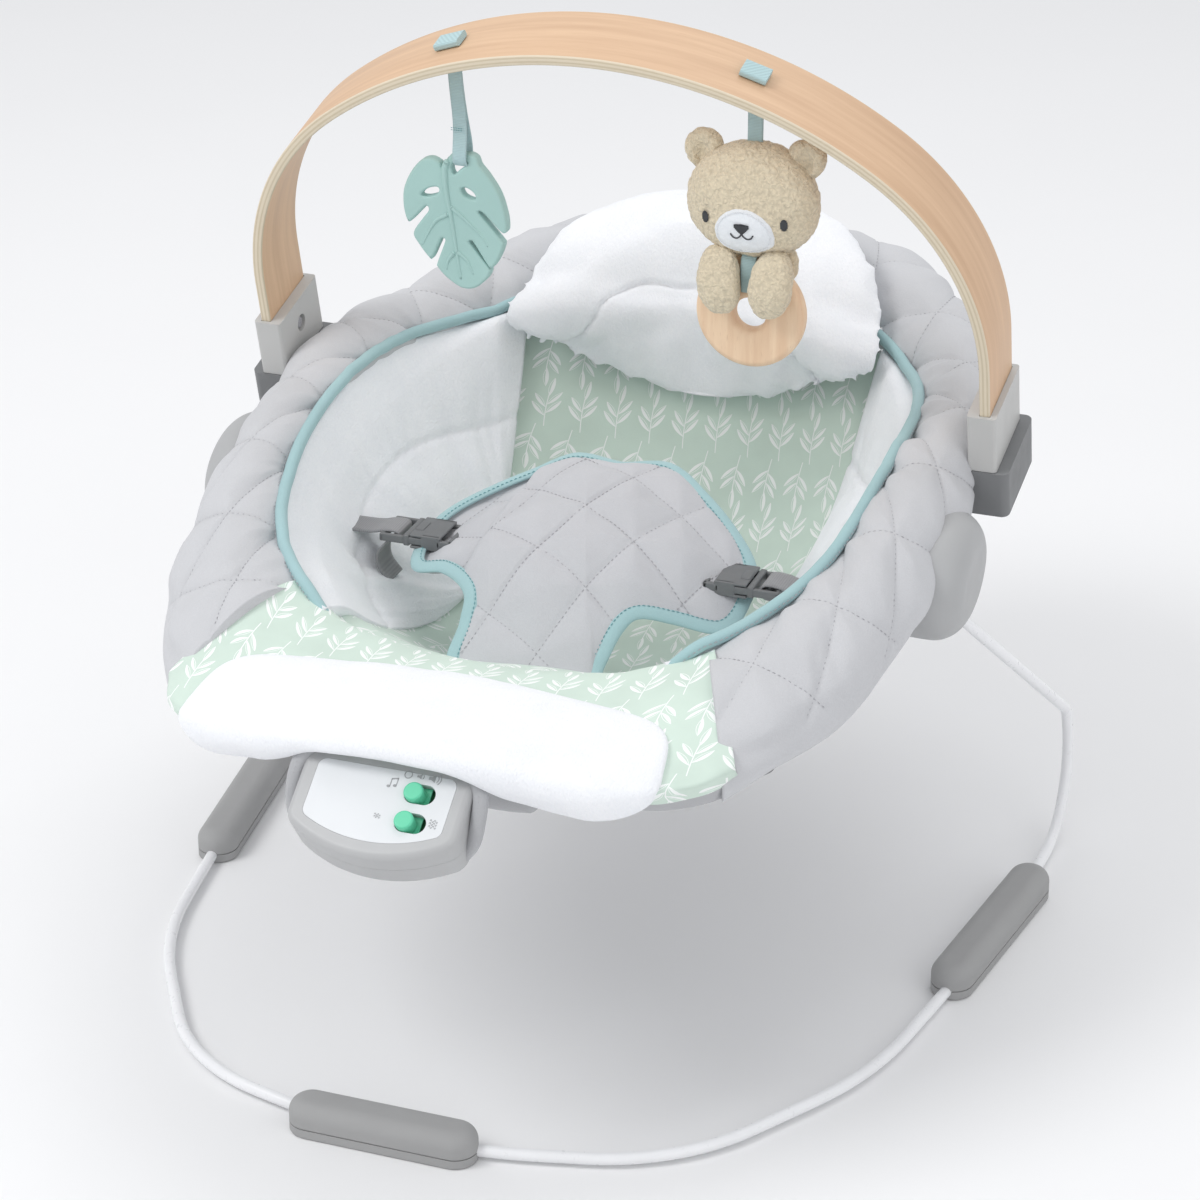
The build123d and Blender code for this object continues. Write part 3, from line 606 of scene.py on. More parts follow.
def leaf_group():
    """One printed leaf: a pointed shape, filled on one side and outlined on the other."""
    tree = bpy.data.node_groups.new("printed leaf", "ShaderNodeTree")
    tree.interface.new_socket("Point", in_out="INPUT", socket_type="NodeSocketVector")
    for name in ("Base X", "Base Y", "Cosine", "Sine", "Length", "Width"):
        tree.interface.new_socket(name, in_out="INPUT", socket_type="NodeSocketFloat")
    tree.interface.new_socket("Ink", in_out="OUTPUT", socket_type="NodeSocketFloat")
    source = tree.nodes.new("NodeGroupInput").outputs
    sink = tree.nodes.new("NodeGroupOutput").inputs

    def sum_of(operation, a, b=0.0, c=0.0):
        made = tree.nodes.new("ShaderNodeMath")
        made.operation = operation
        for socket, value in zip(made.inputs, (a, b, c)):
            if isinstance(value, bpy.types.NodeSocket):
                tree.links.new(value, socket)
            else:
                socket.default_value = value
        return made.outputs[0]

    split = tree.nodes.new("ShaderNodeSeparateXYZ")
    tree.links.new(source["Point"], split.inputs[0])
    dx = sum_of("SUBTRACT", split.outputs[0], source["Base X"])
    dy = sum_of("SUBTRACT", split.outputs[1], source["Base Y"])
    cosine, sine = source["Cosine"], source["Sine"]
    along = sum_of("ADD", sum_of("MULTIPLY", dx, cosine), sum_of("MULTIPLY", dy, sine))
    aside = sum_of("SUBTRACT", sum_of("MULTIPLY", dy, cosine), sum_of("MULTIPLY", dx, sine))
    share = sum_of("DIVIDE", along, source["Length"])
    round_off = sum_of("MULTIPLY", sum_of("MULTIPLY", share, sum_of("SUBTRACT", 1.0, share)), 4.0)
    half = sum_of("MAXIMUM", sum_of("MULTIPLY", round_off, source["Width"]), 0.00001)
    ratio = sum_of("DIVIDE", aside, half)
    inside = sum_of("LESS_THAN", sum_of("ABSOLUTE", ratio), 1.0)
    filled = sum_of("LESS_THAN", ratio, LEAF_FILLED_TO)
    edge = sum_of("MULTIPLY", sum_of("SUBTRACT", 1.0, sum_of("ABSOLUTE", ratio)), half)
    outline = sum_of("LESS_THAN", edge, LEAF_LINE)
    ink = sum_of("MULTIPLY", inside, sum_of("MAXIMUM", filled, outline))
    tree.links.new(ink, sink["Ink"])
    return tree


PRINT_COLUMN = 22.5
PRINT_ROW = 33.0
# Each printed leaf pair of a sprig: height on the stem, angle from the stem, length and half width.
SPRIG_LEAVES = ((-7.0, 38, 13.5, 1.7), (-0.5, 36, 13.0, 1.6), (6.0, 0, 14.0, 1.8))


def sprig_print(name, ground, ink):
    """Cloth printed with rows of leaf sprigs that point up and down in turn."""
    look = Look(name, 0.82, Sheen_Weight=0.1, Sheen_Roughness=0.5)
    uv = look.node("ShaderNodeTexCoord").outputs["UV"]
    split = look.node("ShaderNodeSeparateXYZ", {0: look.stretch((1000, 1000, 1), uv)})
    leaf = leaf_group()
    inks = []
    for turn, shift in ((1, 0.0), (-1, 0.22)):
        x = look.math("ADD", split.outputs[0], (shift + 50) * PRINT_COLUMN)
        x = look.math("SUBTRACT", look.math("MODULO", x, PRINT_COLUMN), PRINT_COLUMN / 2)
        y = look.math("ADD", split.outputs[1], PRINT_ROW * (100 if turn > 0 else 101))
        y = look.math("SUBTRACT", look.math("MODULO", y, 2 * PRINT_ROW), PRINT_ROW)
        y = look.math("MULTIPLY", y, turn)
        bend = look.math("MULTIPLY", look.math("MULTIPLY", y, y), 0.004)
        x = look.math("SUBTRACT", x, bend)
        stem = look.math("LESS_THAN", look.math("ABSOLUTE", x), 0.3)
        reach = look.math("LESS_THAN", look.math("ABSOLUTE", look.math("ADD", y, 4.0)), 13.0)
        inks.append(look.math("MULTIPLY", stem, reach))
        for height, angle, length, width in SPRIG_LEAVES:
            for side in ((1, -1) if angle else (1,)):
                point = look.node("ShaderNodeCombineXYZ", {0: look.math("MULTIPLY", x, side), 1: y})
                drop = 2.2 if side < 0 else 0.0
                lean = math.radians(90 - angle - (4 if side < 0 else 0))
                inputs = {"Point": point.outputs[0], "Base X": 0.3, "Base Y": height - drop}
                inputs |= {"Cosine": math.cos(lean), "Sine": math.sin(lean), "Length": length, "Width": width}
                made = look.tree.nodes.new("ShaderNodeGroup")
                made.node_tree = leaf
                for key, value in inputs.items():
                    look.feed(made.inputs[key], value)
                inks.append(made.outputs[0])
    total = inks[0]
    for one in inks[1:]:
        total = look.math("MAXIMUM", total, one)
    cloud = look.noise(30, 3)
    thread = look.noise(1600, 2, 0.7)
    tone = look.mix(look.span(cloud, 0.35, 0.65), shade(ground, 0.97), shade(ground, 1.03))
    tone = look.mix(look.math("MULTIPLY", thread, 0.12), tone, shade(ground, 0.75))
    look.colour(look.mix(look.math("MULTIPLY", total, 0.93), tone, ink))
    first = look.bump(thread, 0.0001)
    look.bump(look.noise(55, 3), 0.0005, 0.4, first)
    return look.material


def ribbed(name, colour, pitch=1.3, along="X"):
    """Ribbed webbing or ribbon, its ribs across the strap, painted darker in the grooves as shade and lighter
    on the rib tops.
    """
    look = Look(name, 0.8, Sheen_Weight=0.15)
    split = look.node("ShaderNodeSeparateXYZ", {0: look.place})
    run = look.math("MULTIPLY", split.outputs[along], 2 * math.pi * 1000 / pitch)
    rib = look.math("ADD", look.math("MULTIPLY", look.math("SINE", run), 0.5), 0.5)
    thread = look.noise(2200, 2)
    tone = look.math("ADD", look.math("MULTIPLY", rib, 0.6), look.math("MULTIPLY", thread, 0.5))
    # Painted shade: the rib and thread height that also drives the bump colours the grooves darker and the
    # rib tops lighter.
    look.shades(tone, 0.1, 0.9, shade(colour, 0.86), shade(colour, 1.06))
    look.bump(tone, 0.00018)
    return look.material


def ink_look(name, colour):
    """A plain print or sewing thread."""
    look = Look(name, 0.6)
    look.shades(look.noise(900, 2), 0.3, 0.7, shade(colour, 0.92), shade(colour, 1.06))
    return look.material


GREY_CLOTH = (0.56, 0.565, 0.585, 1)
SAGE = (0.62, 0.74, 0.66, 1)
TEAL = (0.36, 0.54, 0.56, 1)
LOOKS = {
    "ring_fabric": brushed_cloth("rim cloth", GREY_CLOTH),
    "sling_fabric": brushed_cloth("underside cloth", (0.42, 0.425, 0.44, 1), 1300),
    "pad_quilt": brushed_cloth("pad cloth", (0.53, 0.535, 0.56, 1)),
    "white_plush": plush("white plush", (0.92, 0.93, 0.955, 1), (0.84, 0.86, 0.90, 1)),
    "bear_white": plush("muzzle plush", (0.85, 0.87, 0.90, 1), (0.76, 0.79, 0.83, 1), 1500, 0.0004),
    "sage_print": sprig_print("sprig print", SAGE, (0.92, 0.94, 0.93, 1)),
    "teal_piping": brushed_cloth("teal tape", TEAL, 1800, 0.00008),
    "teal_ribbon": ribbed("teal ribbon", (0.42, 0.58, 0.60, 1), 0.9, "Z"),
    "leaf_silicone": moulded("leaf silicone", (0.37, 0.56, 0.53, 1), 0.55, 1500),
    "bear_plush": sherpa("bear pile", (0.76, 0.66, 0.49, 1)),
    "beech_wood": beech("beech", (0.86, 0.66, 0.47, 1), (0.73, 0.50, 0.33, 1), (1, 1, 0.06)),
    "socket_grey": moulded("socket plastic", (0.52, 0.52, 0.51, 1), 0.5),
    "clamp_grey": moulded("clamp plastic", (0.19, 0.195, 0.20, 1), 0.55),
    "hub_grey": moulded("hub plastic", (0.42, 0.425, 0.43, 1), 0.5),
    "foot_grey": moulded("foot rubber", (0.36, 0.36, 0.36, 1), 0.75, 1800, 0.00005),
    "unit_grey": moulded("unit plastic", (0.46, 0.465, 0.47, 1), 0.42),
    "plate_white": moulded("face plate", (0.72, 0.74, 0.76, 1), 0.38),
    "slider_mint": moulded("mint plastic", (0.12, 0.62, 0.38, 1), 0.35),
    "buckle_grey": moulded("buckle plastic", (0.15, 0.155, 0.16, 1), 0.45),
    "webbing": ribbed("grey webbing", (0.28, 0.28, 0.29, 1), 1.4, "X"),
    "white_wire": powder_coat("white powder coat", (0.88, 0.885, 0.90, 1)),
    "screw_steel": steel("zinc", (0.6, 0.6, 0.62, 1)),
    "motor_steel": steel("plated steel", (0.7, 0.7, 0.72, 1)),
    "weight_brass": steel("brass", (0.70, 0.52, 0.22, 1)),
    "board_green": moulded("solder mask", (0.05, 0.20, 0.09, 1), 0.35),
    "cell_jacket": moulded("cell jacket", (0.10, 0.11, 0.13, 1), 0.35),
    "speaker_black": moulded("speaker frame", (0.02, 0.02, 0.02, 1), 0.6),
}
DARK_INK = ink_look("grey print", (0.36, 0.37, 0.38, 1))
THREAD_GREY = ink_look("grey thread", (0.40, 0.40, 0.42, 1))
THREAD_TEAL = ink_look("teal thread", (0.14, 0.34, 0.37, 1))
THREAD_DARK = ink_look("charcoal thread", (0.055, 0.058, 0.065, 1))
PLY_EDGE = plies("plywood edge")
ARCH_FACE = beech("bent beech face", (0.72, 0.50, 0.33, 1), (0.60, 0.395, 0.25, 1), (0.05, 1, 1), bent=True)


def dress(obj, slot_name, material=None):
    """Gives a piece the look of a material slot, or one material of its own."""
    obj.data.materials.clear()
    obj.data.materials.append(material or LOOKS[slot_name])
    return obj


def dress_frame():
    """Gives every CAD node the look of its material slot."""
    for part in frame["record"]["subparts"]:
        node = frame["nodes"][part["node"]]
        material = LOOKS[part["material_slot"]]
        if not node.material_slots:
            node.data.materials.append(material)
        for each in node.material_slots:
            each.material = material


# ---------------------------------------------------------------- camera, floor and light
CAMERA_PLACE = (0.6575, -1.7866, 1.1096)
CAMERA_AZIMUTH = math.radians(19.952)
CAMERA_ELEVATION = math.radians(25.308)
CAMERA_LENS = 104.456
# Area lights: name, place in metres, size in metres and power in watts.
LIGHTS = (
    ("key", (-1.6, -1.5, 2.6), 1.3, 38),
    ("fill", (2.4, -1.4, 1.5), 2.2, 13),
    ("top", (0.2, 0.9, 2.8), 1.8, 16),
)


def set_stage():
    """A pale floor, soft studio light and the camera."""
    bpy.ops.mesh.primitive_plane_add(size=14, location=(0, 2.0, 0))
    floor = bpy.context.object
    floor.name = "floor"
    paint = Look("floor", 0.9)
    paint.colour(paint.mix(paint.noise(3), (0.86, 0.86, 0.865, 1), (0.88, 0.88, 0.885, 1)))
    floor.data.materials.append(paint.material)

    world = bpy.data.worlds.new("studio")
    bpy.context.scene.world = world
    world.use_nodes = True
    world.node_tree.nodes["Background"].inputs[0].default_value = (0.97, 0.98, 1.0, 1)
    world.node_tree.nodes["Background"].inputs[1].default_value = 0.72

    target = Vector((0, 0, 0.25))
    for name, where, size, power in LIGHTS:
        light = link(name, bpy.data.lights.new(name, "AREA"))
        light.data.energy = power
        light.data.size = size
        light.location = where
        light.rotation_euler = (target - Vector(where)).to_track_quat("-Z", "Y").to_euler()

    bpy.context.scene.view_settings.view_transform = "Standard"
    camera = link("camera", bpy.data.cameras.new("camera"))
    camera.data.lens = CAMERA_LENS
    camera.data.sensor_width = 36
    camera.data.clip_start = 0.05
    back = Vector((
        math.sin(CAMERA_AZIMUTH) * math.cos(CAMERA_ELEVATION),
        -math.cos(CAMERA_AZIMUTH) * math.cos(CAMERA_ELEVATION),
        math.sin(CAMERA_ELEVATION),
    ))
    camera.location = CAMERA_PLACE
    camera.rotation_euler = back.to_track_quat("Z", "Y").to_euler()
    bpy.context.scene.camera = camera


# ---------------------------------------------------------------- the seat's outline
def egg(angle, half_width, back, front, n_back, n_front, middle):
    """A point (x, v) on an egg-shaped outline, seen from its middle at the given angle."""
    c, s = np.cos(angle), np.sin(angle)
    length = np.where(s > 0, back, front)
    n = np.where(s > 0, n_back, n_front)
    radius = ((np.abs(c) / half_width) ** n + (np.abs(s) / length) ** n) ** (-1 / n)
    return radius * c, middle + radius * s


PIPING_HEIGHT = (
    (-230, 0), (-200, 2), (-176, 6), (-130, 13), (-86, 16), (-59, 20), (-30, 23), (0, 23.7),
    (31, 22.3), (70, 16), (103, 9), (143, -2), (177, -10), (210, -8), (246, 0),
)
RIM_HEIGHT = (
    (-300, -8), (-229, -1), (-189, -2), (-148, -1), (-116, 3.7), (-80, 9.8), (-39, 14), (4, 15.8),
    (40, 17.7), (74, 17), (111, 11.7), (149, 5), (186, 3), (217, 3), (251, 4), (276, 7), (311, 10),
)
# Levels of the bowl's lining, from the piping down: half width, back, front, middle, height.
LINING = (
    (166, 212, 208, 26, -12), (153, 186, 186, 28, -38), (136, 158, 162, 32, -66),
    (110, 124, 132, 38, -98), (78, 84, 92, 42, -126), (40, 42, 48, 42, -142), (3, 3, 3, 42, -147),
)
BOWL_FRONT_POWER = 2.8
BOWL_BACK_POWER = 2.3


def piping_loop(angle):
    """The line of the piping, between the padded rim and the bowl, in seat coordinates."""
    x, v = egg(angle, 176, 222, 226, BOWL_BACK_POWER, BOWL_FRONT_POWER, 24)
    return np.stack([x, v, np.interp(v, *zip(*PIPING_HEIGHT))], -1)


def rim_loop(angle):
    """The rim's outermost line, in seat coordinates."""
    x, v = egg(angle, 221, 320, 318, 2.5, 2.5, -9)
    return np.stack([x, v, np.interp(v, *zip(*RIM_HEIGHT))], -1)


def lining_loops(angle, count):
    """Loops of the bowl's lining from the piping to the bottom, in seat coordinates."""
    rows = [piping_loop(angle)]
    for half_width, back, front, middle, height in LINING:
        x, v = egg(angle, half_width, back, front, BOWL_BACK_POWER, BOWL_FRONT_POWER - 0.2, middle)
        rows.append(np.stack([x, v, np.full_like(x, height, float)], -1))
    return across(rows, count)


# ---------------------------------------------------------------- quilted rim
RIM_END = math.radians(-57.5)
QUILT_PITCH = 80.0
QUILT_SLOPE = 0.95
QUILT_DEPTH = 94.0  # how far over the rim the stitch lines run, from the piping
# The rim's cross-section: share of the way from piping to rim, and height above that line.
RIM_SECTION = (
    (0.0, -2), (0.07, 3), (0.26, 12), (0.56, 16), (0.85, 10), (1.02, -2), (1.06, -13),
    (0.99, -24), (0.80, -31), (0.5, -32), (0.2, -26), (0.02, -12),
)


def quilt_distance(u, s, pitch=QUILT_PITCH, slope=QUILT_SLOPE):
    """Distance in mm to the nearest of two families of slanting stitch lines."""
    length = math.hypot(1, slope)
    nearest = None
    for sign in (1, -1):
        phase = (u + sign * slope * s) / pitch
        d = np.abs(phase - np.round(phase)) * pitch / length
        nearest = d if nearest is None else np.minimum(nearest, d)
    return nearest


def sample(p, i, j):
    """Points between the nodes of a grid, closed in its second way."""
    i = np.clip(np.asarray(i, float), 0, p.shape[0] - 1.001)
    j = np.asarray(j, float) % p.shape[1]
    i0, j0 = i.astype(int), j.astype(int)
    a, b = (i - i0)[:, None], (j - j0)[:, None]
    j1 = (j0 + 1) % p.shape[1]
    near = p[i0, j0] * (1 - b) + p[i0, j1] * b
    far = p[i0 + 1, j0] * (1 - b) + p[i0 + 1, j1] * b
    return near * (1 - a) + far * a


def make_rim():
    """The quilted ring cushion and its lines of stitches."""
    count, around = 720, 84
    angle = np.linspace(RIM_END, math.pi - RIM_END, count)
    inner, outer = piping_loop(angle), rim_loop(angle)
    rows = []
    for share, height in RIM_SECTION:
        row = inner + (outer - inner) * share
        row[:, 2] += height * (0.82 + 0.18 * smooth(row[:, 1], -240, -120))
        rows.append(row)
    section = np.stack(rows, 1)
    p = np.stack([through(one, around, closed=True) for one in section])
    along = running_length(outer)
    along -= along[-1] / 2
    down = row_lengths(p)
    u = along[:, None] + 0 * down
    n = outward_normals(p)
    quilted = smooth(down, 1, 6) * (1 - smooth(down, 92, 100))
    d = quilt_distance(u, down)
    puff = 3.6 * (1 - bump_line(d, 13)) - 1.3 * bump_line(d, 1.7)
    gather = ripples(u, down, 13, 60, 3) * 1.1 * (1 - smooth(down, 8, 60))
    pull = ripples(u, down, 9, 30, 5) * bump_line(d, 12)
    sag = ripples(u, down, 55, 40, 8) * 2.2
    p = p + n * (quilted * (puff + pull) + gather + sag)[..., None]
    world = seat(p)
    uv = np.stack([u, down], -1) * MM
    rim = dress(grid_mesh("quilted_rim", world, closed_v=True, uv=uv, caps=True), "ring_fabric")
    place(rim, "seat", "ring_fabric", "ring_cushion")

    normal = seat(p + n) - world
    threads = []
    total = along[-1]
    s = np.linspace(4, QUILT_DEPTH, 60)
    lines = int((total + 90) / QUILT_PITCH)
    for sign in (1, -1):
        for k in range(-lines, lines + 1):
            along_line = k * QUILT_PITCH - sign * QUILT_SLOPE * s
            keep = (along_line > -total + 6) & (along_line < total - 6)
            if keep.sum() < 5:
                continue
            i = np.interp(along_line[keep], along, np.arange(count))
            row = np.round(i).astype(int)
            j = np.array([np.interp(one, down[r], np.arange(around)) for one, r in zip(s[keep], row)])
            threads.append(stitches("t", sample(world, i, j), sample(normal, i, j), 3.4, 0.6, 0.26, 0.0))
    stitching = dress(join("rim_stitching", threads), "", THREAD_GREY)
    place(stitching, "seat", "ring_fabric")


# ---------------------------------------------------------------- piping between rim and bowl
def make_piping():
    """The teal piping around the bowl. Its ends dip under the front lip."""
    tuck = 0.17
    angle = np.linspace(RIM_END - tuck, math.pi - RIM_END + tuck, 440)
    line = piping_loop(angle)
    past = np.abs(angle - math.pi / 2) - (math.pi / 2 - RIM_END)
    line[:, 2] += 4.6 - 16 * smooth(past, 0.0, tuck)
    along = np.arange(len(line)) / 4.0
    waver = [lattice(np.stack([along, 0 * along, 0 * along + k], -1), 2) * 0.5 for k in range(3)]
    line += np.stack(waver, -1)
    cord = dress(tube("rim_piping", seat(line), 3.7, 16), "teal_piping")
    place(cord, "seat", "teal_piping", "edge_piping")
    flange = line.copy()
    flange[:, :2] *= (1 + 4.2 / np.linalg.norm(line[:, :2], axis=1))[:, None]
    flange[:, 2] += 1.2
    normal = (0.0, -math.sin(SEAT_TILT), math.cos(SEAT_TILT))
    sewn = dress(stitches("piping_stitching", seat(flange), normal, 3.4, 0.6, 0.3, 0.2), "", THREAD_GREY)
    place(sewn, "seat", "teal_piping")


# ---------------------------------------------------------------- lining of the bowl
# Half width of the middle panel at places (v) along the seat, and how far it goes under the side panels.
PANEL_EDGE = ((-230, 104), (-120, 100), (0, 98), (60, 100), (120, 108), (180, 118), (246, 124))
PANEL_TUCK = 7.0
BOWL_MIDDLE = np.array([0, 30, 60])  # a point well inside the bowl, above its bottom


def panel_edge(v):
    """Half width of the printed middle panel."""
    return np.interp(v, *zip(*PANEL_EDGE))


def side_panel_grid(levels, count):
    """The part of the lining beyond the middle panel's edge, on the right, row by row."""
    angle = np.linspace(-math.pi / 2 + 0.01, math.pi / 2 - 0.01, 400)
    rows = []
    for loop in lining_loops(angle, levels):
        outside = loop[:, 0] - panel_edge(loop[:, 1])
        if outside.max() < 1.0:
            break
        inside = np.where(outside > 0)[0]
        first, last = inside[0], inside[-1]
        ends = []
        for a, b in ((first - 1, first), (last, last + 1)):
            a, b = max(a, 0), min(b, len(loop) - 1)
            t = outside[a] / (outside[a] - outside[b]) if outside[a] * outside[b] < 0 else 0.0
            ends.append(loop[a] + (loop[b] - loop[a]) * t)
        rows.append(through(np.vstack([ends[0], loop[first:last + 1], ends[1]]), count))
    return np.stack(rows)


def make_side_panels():
    """The two plush walls of the bowl, each with a curved seam part of the way down."""
    count = 150
    right = side_panel_grid(90, count)
    depth = running_length(right[:, count // 2])[:, None]
    edge = np.minimum(np.arange(len(right))[:, None], 12) / 12.0
    share = np.linspace(0, 1, count)
    for name, side in SIDES.items():
        p = right * np.array([side, 1, 1])
        s = share
        if side < 0:
            p, s = p[:, ::-1], share[::-1]
        n = turned_to(grid_normals(p), BOWL_MIDDLE - p)
        seam = 78 + 14 * np.cos(s * math.pi * 2)
        d = depth - seam[None]
        ends = np.minimum(np.minimum(s, 1 - s) * 14, 1)[None]
        fold = ripples(s[None] * 16, depth, 1, 70, 4 + side)
        ripple = ripples(s[None] * 44, depth, 1, 45, 7 + side)
        lift = 4.5 * edge * ends * (1 - bump_line(d, 20)) - 2.2 * bump_line(d, 2.2)
        lift += fold * 2.6 * bump_line(d - 15, 45) + ripple * 1.1 * bump_line(d, 24)
        p = p + n * lift[..., None]
        world = seat(p)
        if np.sum(grid_normals(world) * (seat(p + n) - world)) < 0:
            world = world[:, ::-1]
        piece = shell(f"plush_wall_{name}", world, 9.0, cloth_lengths(world))
        place(dress(piece, "white_plush"), "seat", "white_plush", f"side_panel_{name}")


def bowl_profile(x, count):
    """The lining's line (v, w) down the back wall, along the bottom and up the front wall at one x."""
    levels = 260
    angle = np.linspace(0.0, math.pi / 2, 260)
    halves = []
    for loops in (lining_loops(angle, levels), lining_loops(-angle, levels)):
        crossed = [loop for loop in loops if loop[0, 0] > abs(x)]
        half = [(np.interp(abs(x), loop[::-1, 0], loop[::-1, 1]), loop[-1, 2]) for loop in crossed]
        halves.append(np.array(half))
    line = np.vstack([halves[0], halves[1][::-1]])
    keep = np.concatenate([[True], np.linalg.norm(np.diff(line, axis=0), axis=1) > 0.3])
    return through(line[keep], count)


def make_middle_panel():
    """The printed panel that lines the bowl from the head end to the front."""
    columns, count = 61, 240
    shares = np.linspace(-1, 1, columns)
    rows = []
    for share in shares:
        line = bowl_profile(share * 104, count)
        x = share * (panel_edge(line[:, 0]) + PANEL_TUCK)
        rows.append(np.column_stack([x, line]))
    p = np.stack(rows)
    n = turned_to(grid_normals(p), BOWL_MIDDLE - p)
    down = cloth_lengths(p)[..., 1]
    wave = ripples(p[..., 0], down * 1000, 55, 70, 12)
    ripple = ripples(p[..., 0], down * 1000, 22, 60, 15)
    edge = 1 - np.abs(shares)[:, None] ** 6
    p = p + n * ((wave * 2.0 + ripple * 0.5 + 3.6) * edge - 1.4)[..., None]
    # The front end dips and moves forward, so that its cut edge is under the front lip.
    front_end = smooth(np.arange(count), count - 26, count - 1)
    p[..., 1] -= 5.0 * front_end
    p[..., 2] -= 11.0 * front_end
    world = seat(p)
    uv = np.stack([p[..., 0] * MM, -down], -1)
    if np.sum(grid_normals(world) * (seat(p + n) - world)) < 0:
        world, uv = world[::-1], uv[::-1]
    panel = dress(shell("printed_panel", world, 5.0, uv), "sage_print")
    place(panel, "seat", "sage_print", "seat_panel")


# ---------------------------------------------------------------- underside
# Levels of the sling, from the rim down: half width, back, front, middle, height.
SLING = (
    (200, 262, 262, 2, -16), (186, 232, 232, 16, -40), (158, 186, 196, 28, -74),
    (128, 146, 160, 36, -106), (92, 98, 112, 42, -138), (48, 50, 58, 46, -156), (3, 3, 3, 46, -161),
)
SLING_SEAMS = (0.42, math.pi - 0.42, math.pi + 0.5, -0.5)  # angles of the upright seams
SLING_HOOP = 88  # how far down the cloth the frame hoop's seam lies


def make_sling():
    """The cloth bowl under the seat, held open by the frame hoop, as one closed sheet 2 mm thick."""
    angle = np.linspace(0, 2 * math.pi, 400, endpoint=False)
    rows = []
    for half_width, back, front, middle, height in SLING:
        x, v = egg(angle, half_width, back, front, 2.4, 2.6, middle)
        rows.append(np.stack([x, v, np.full_like(x, height, float)], -1))
    p = across(rows, 110)
    n = turned_to(grid_normals(p, closed_v=True), p - np.array([0, 30, -60]))
    depth = running_length(p[:, 0])[:, None]
    s = angle[None] + 0 * depth
    circle = np.stack([np.cos(s), np.sin(s)], -1)
    level = (depth + 0 * s)[..., None]
    drape = lattice(np.concatenate([circle * 3.2, level / 90], -1), 21)
    gather = lattice(np.concatenate([circle * 16, level / 60], -1), 23)
    fade = smooth(depth, 0, 12) * (1 - smooth(depth, 190, 240))
    folds = (drape * 4.0 + gather * 1.5 * bump_line(depth, 60)) * fade
    seam = bump_line(depth - SLING_HOOP, 2.0)
    for where in SLING_SEAMS:
        seam = seam + bump_line(((s - where + math.pi) % (2 * math.pi) - math.pi) * 150, 2.0)
    p = p + n * (folds - 1.6 * np.minimum(seam, 1))[..., None]
    outer, inner = seat(p), seat(p - n * 2.0)
    vertices = np.vstack([outer.reshape(-1, 3), inner.reshape(-1, 3), outer[-1].mean(0), inner[-1].mean(0)])
    nu, nv = p.shape[:2]
    total = nu * nv
    last = total - nv
    faces = grid_faces(nu, nv, closed_v=True)
    faces += [tuple(i + total for i in reversed(f)) for f in grid_faces(nu, nv, closed_v=True)]
    for j in range(nv):
        k = (j + 1) % nv
        faces.append((k, j, j + total, k + total))
        faces.append((last + j, last + k, 2 * total))
        faces.append((total + last + k, total + last + j, 2 * total + 1))
    piece = add_mesh("underside_sling", vertices, faces)
    fix_normals(piece)
    place(dress(piece, "sling_fabric"), "seat", "sling_fabric", "seat_sling")


# ---------------------------------------------------------------- front lip and foot patch
# Half of the front lip in plan, from the middle outwards: inner edge and outer edge, each (x, v, w).
LIP_INNER = ((0, -198, -2), (30, -197, -2), (60, -193, -1), (88, -185, 1), (110, -175, 6), (126, -168, 11))
LIP_OUTER = ((0, -331, 30), (46, -329, 27), (92, -321, 17), (128, -305, 9), (154, -284, 4), (168, -258, 0))
# How the lip's cloth runs below its inner edge: steps (dv, dw) from that edge, from the hem upwards.
LIP_HEM = ((-22, -46), (10, -34), (7, -16), (2, -3))


def lip_edges(count):
    """The lip's inner and outer edges."""
    return through(mirrored(LIP_INNER), count), through(mirrored(LIP_OUTER), count)


def lip_top(inner, outer, share, rise=7.0):
    """A line on the lip's upper surface, a share of the way from its inner to its outer edge.

    Past the outer edge, at shares above one, it turns down over the front.
    """
    p = inner + (outer - inner) * share
    if share <= 1:
        p[:, 2] += rise * math.sin(math.pi * share) ** 0.8 * (1 - 0.35 * share)
        return p
    over = share - 1
    p[:, 1:] = outer[:, 1:]
    p[:, 1] += 22 * over**1.6
    p[:, 2] -= 34 * over
    return p


def make_lip():
    """The printed roll over the front of the seat. Its underside, out of sight, is plain cloth."""
    count, around = 200, 96
    inner, outer = lip_edges(count)
    sides = smooth(np.abs(outer[:, 0]), 58, 76)
    middle = 1 - sides
    underside = (
        (0, -1.5), (4 + 4 * middle, -9 * sides - 6 * middle), (14 + 14 * middle, -22 * sides - 11 * middle),
        (36 + 2 * middle, -33 * sides - 26 * middle), (60 - 16 * middle, -40 * sides - 60 * middle),
    )
    rows = [moved(inner, dv, dw) for dv, dw in LIP_HEM]
    rows += [lip_top(inner, outer, share) for share in (0.08, 0.22, 0.42, 0.62, 0.82, 0.95)]
    rows += [moved(outer, dv, dw) for dv, dw in underside]
    p = np.stack([through(one, around, closed=True) for one in np.stack(rows, 1)])
    n = outward_normals(p)
    u, down = p[..., 0], row_lengths(p)
    lift = ripples(u, down, 40, 50, 31) * 1.6 + ripples(u, down, 15, 60, 33) * 0.9
    p = p + n * lift[..., None]
    uv = np.stack([u * MM, -down * MM], -1)
    piece = grid_mesh("front_roll", seat(p), closed_v=True, uv=uv, caps=True)
    dress(piece, "sage_print")
    piece.data.materials.append(LOOKS["sling_fabric"])
    edge = np.argmin(np.linalg.norm(p - outer[:, None], axis=-1), axis=1)
    for f in piece.data.polygons:
        i, j = divmod(f.vertices[0], around)
        if j > edge[i] + 3:
            f.material_index = 1
    fix_normals(piece)
    place(piece, "seat", "sage_print", "front_lip")


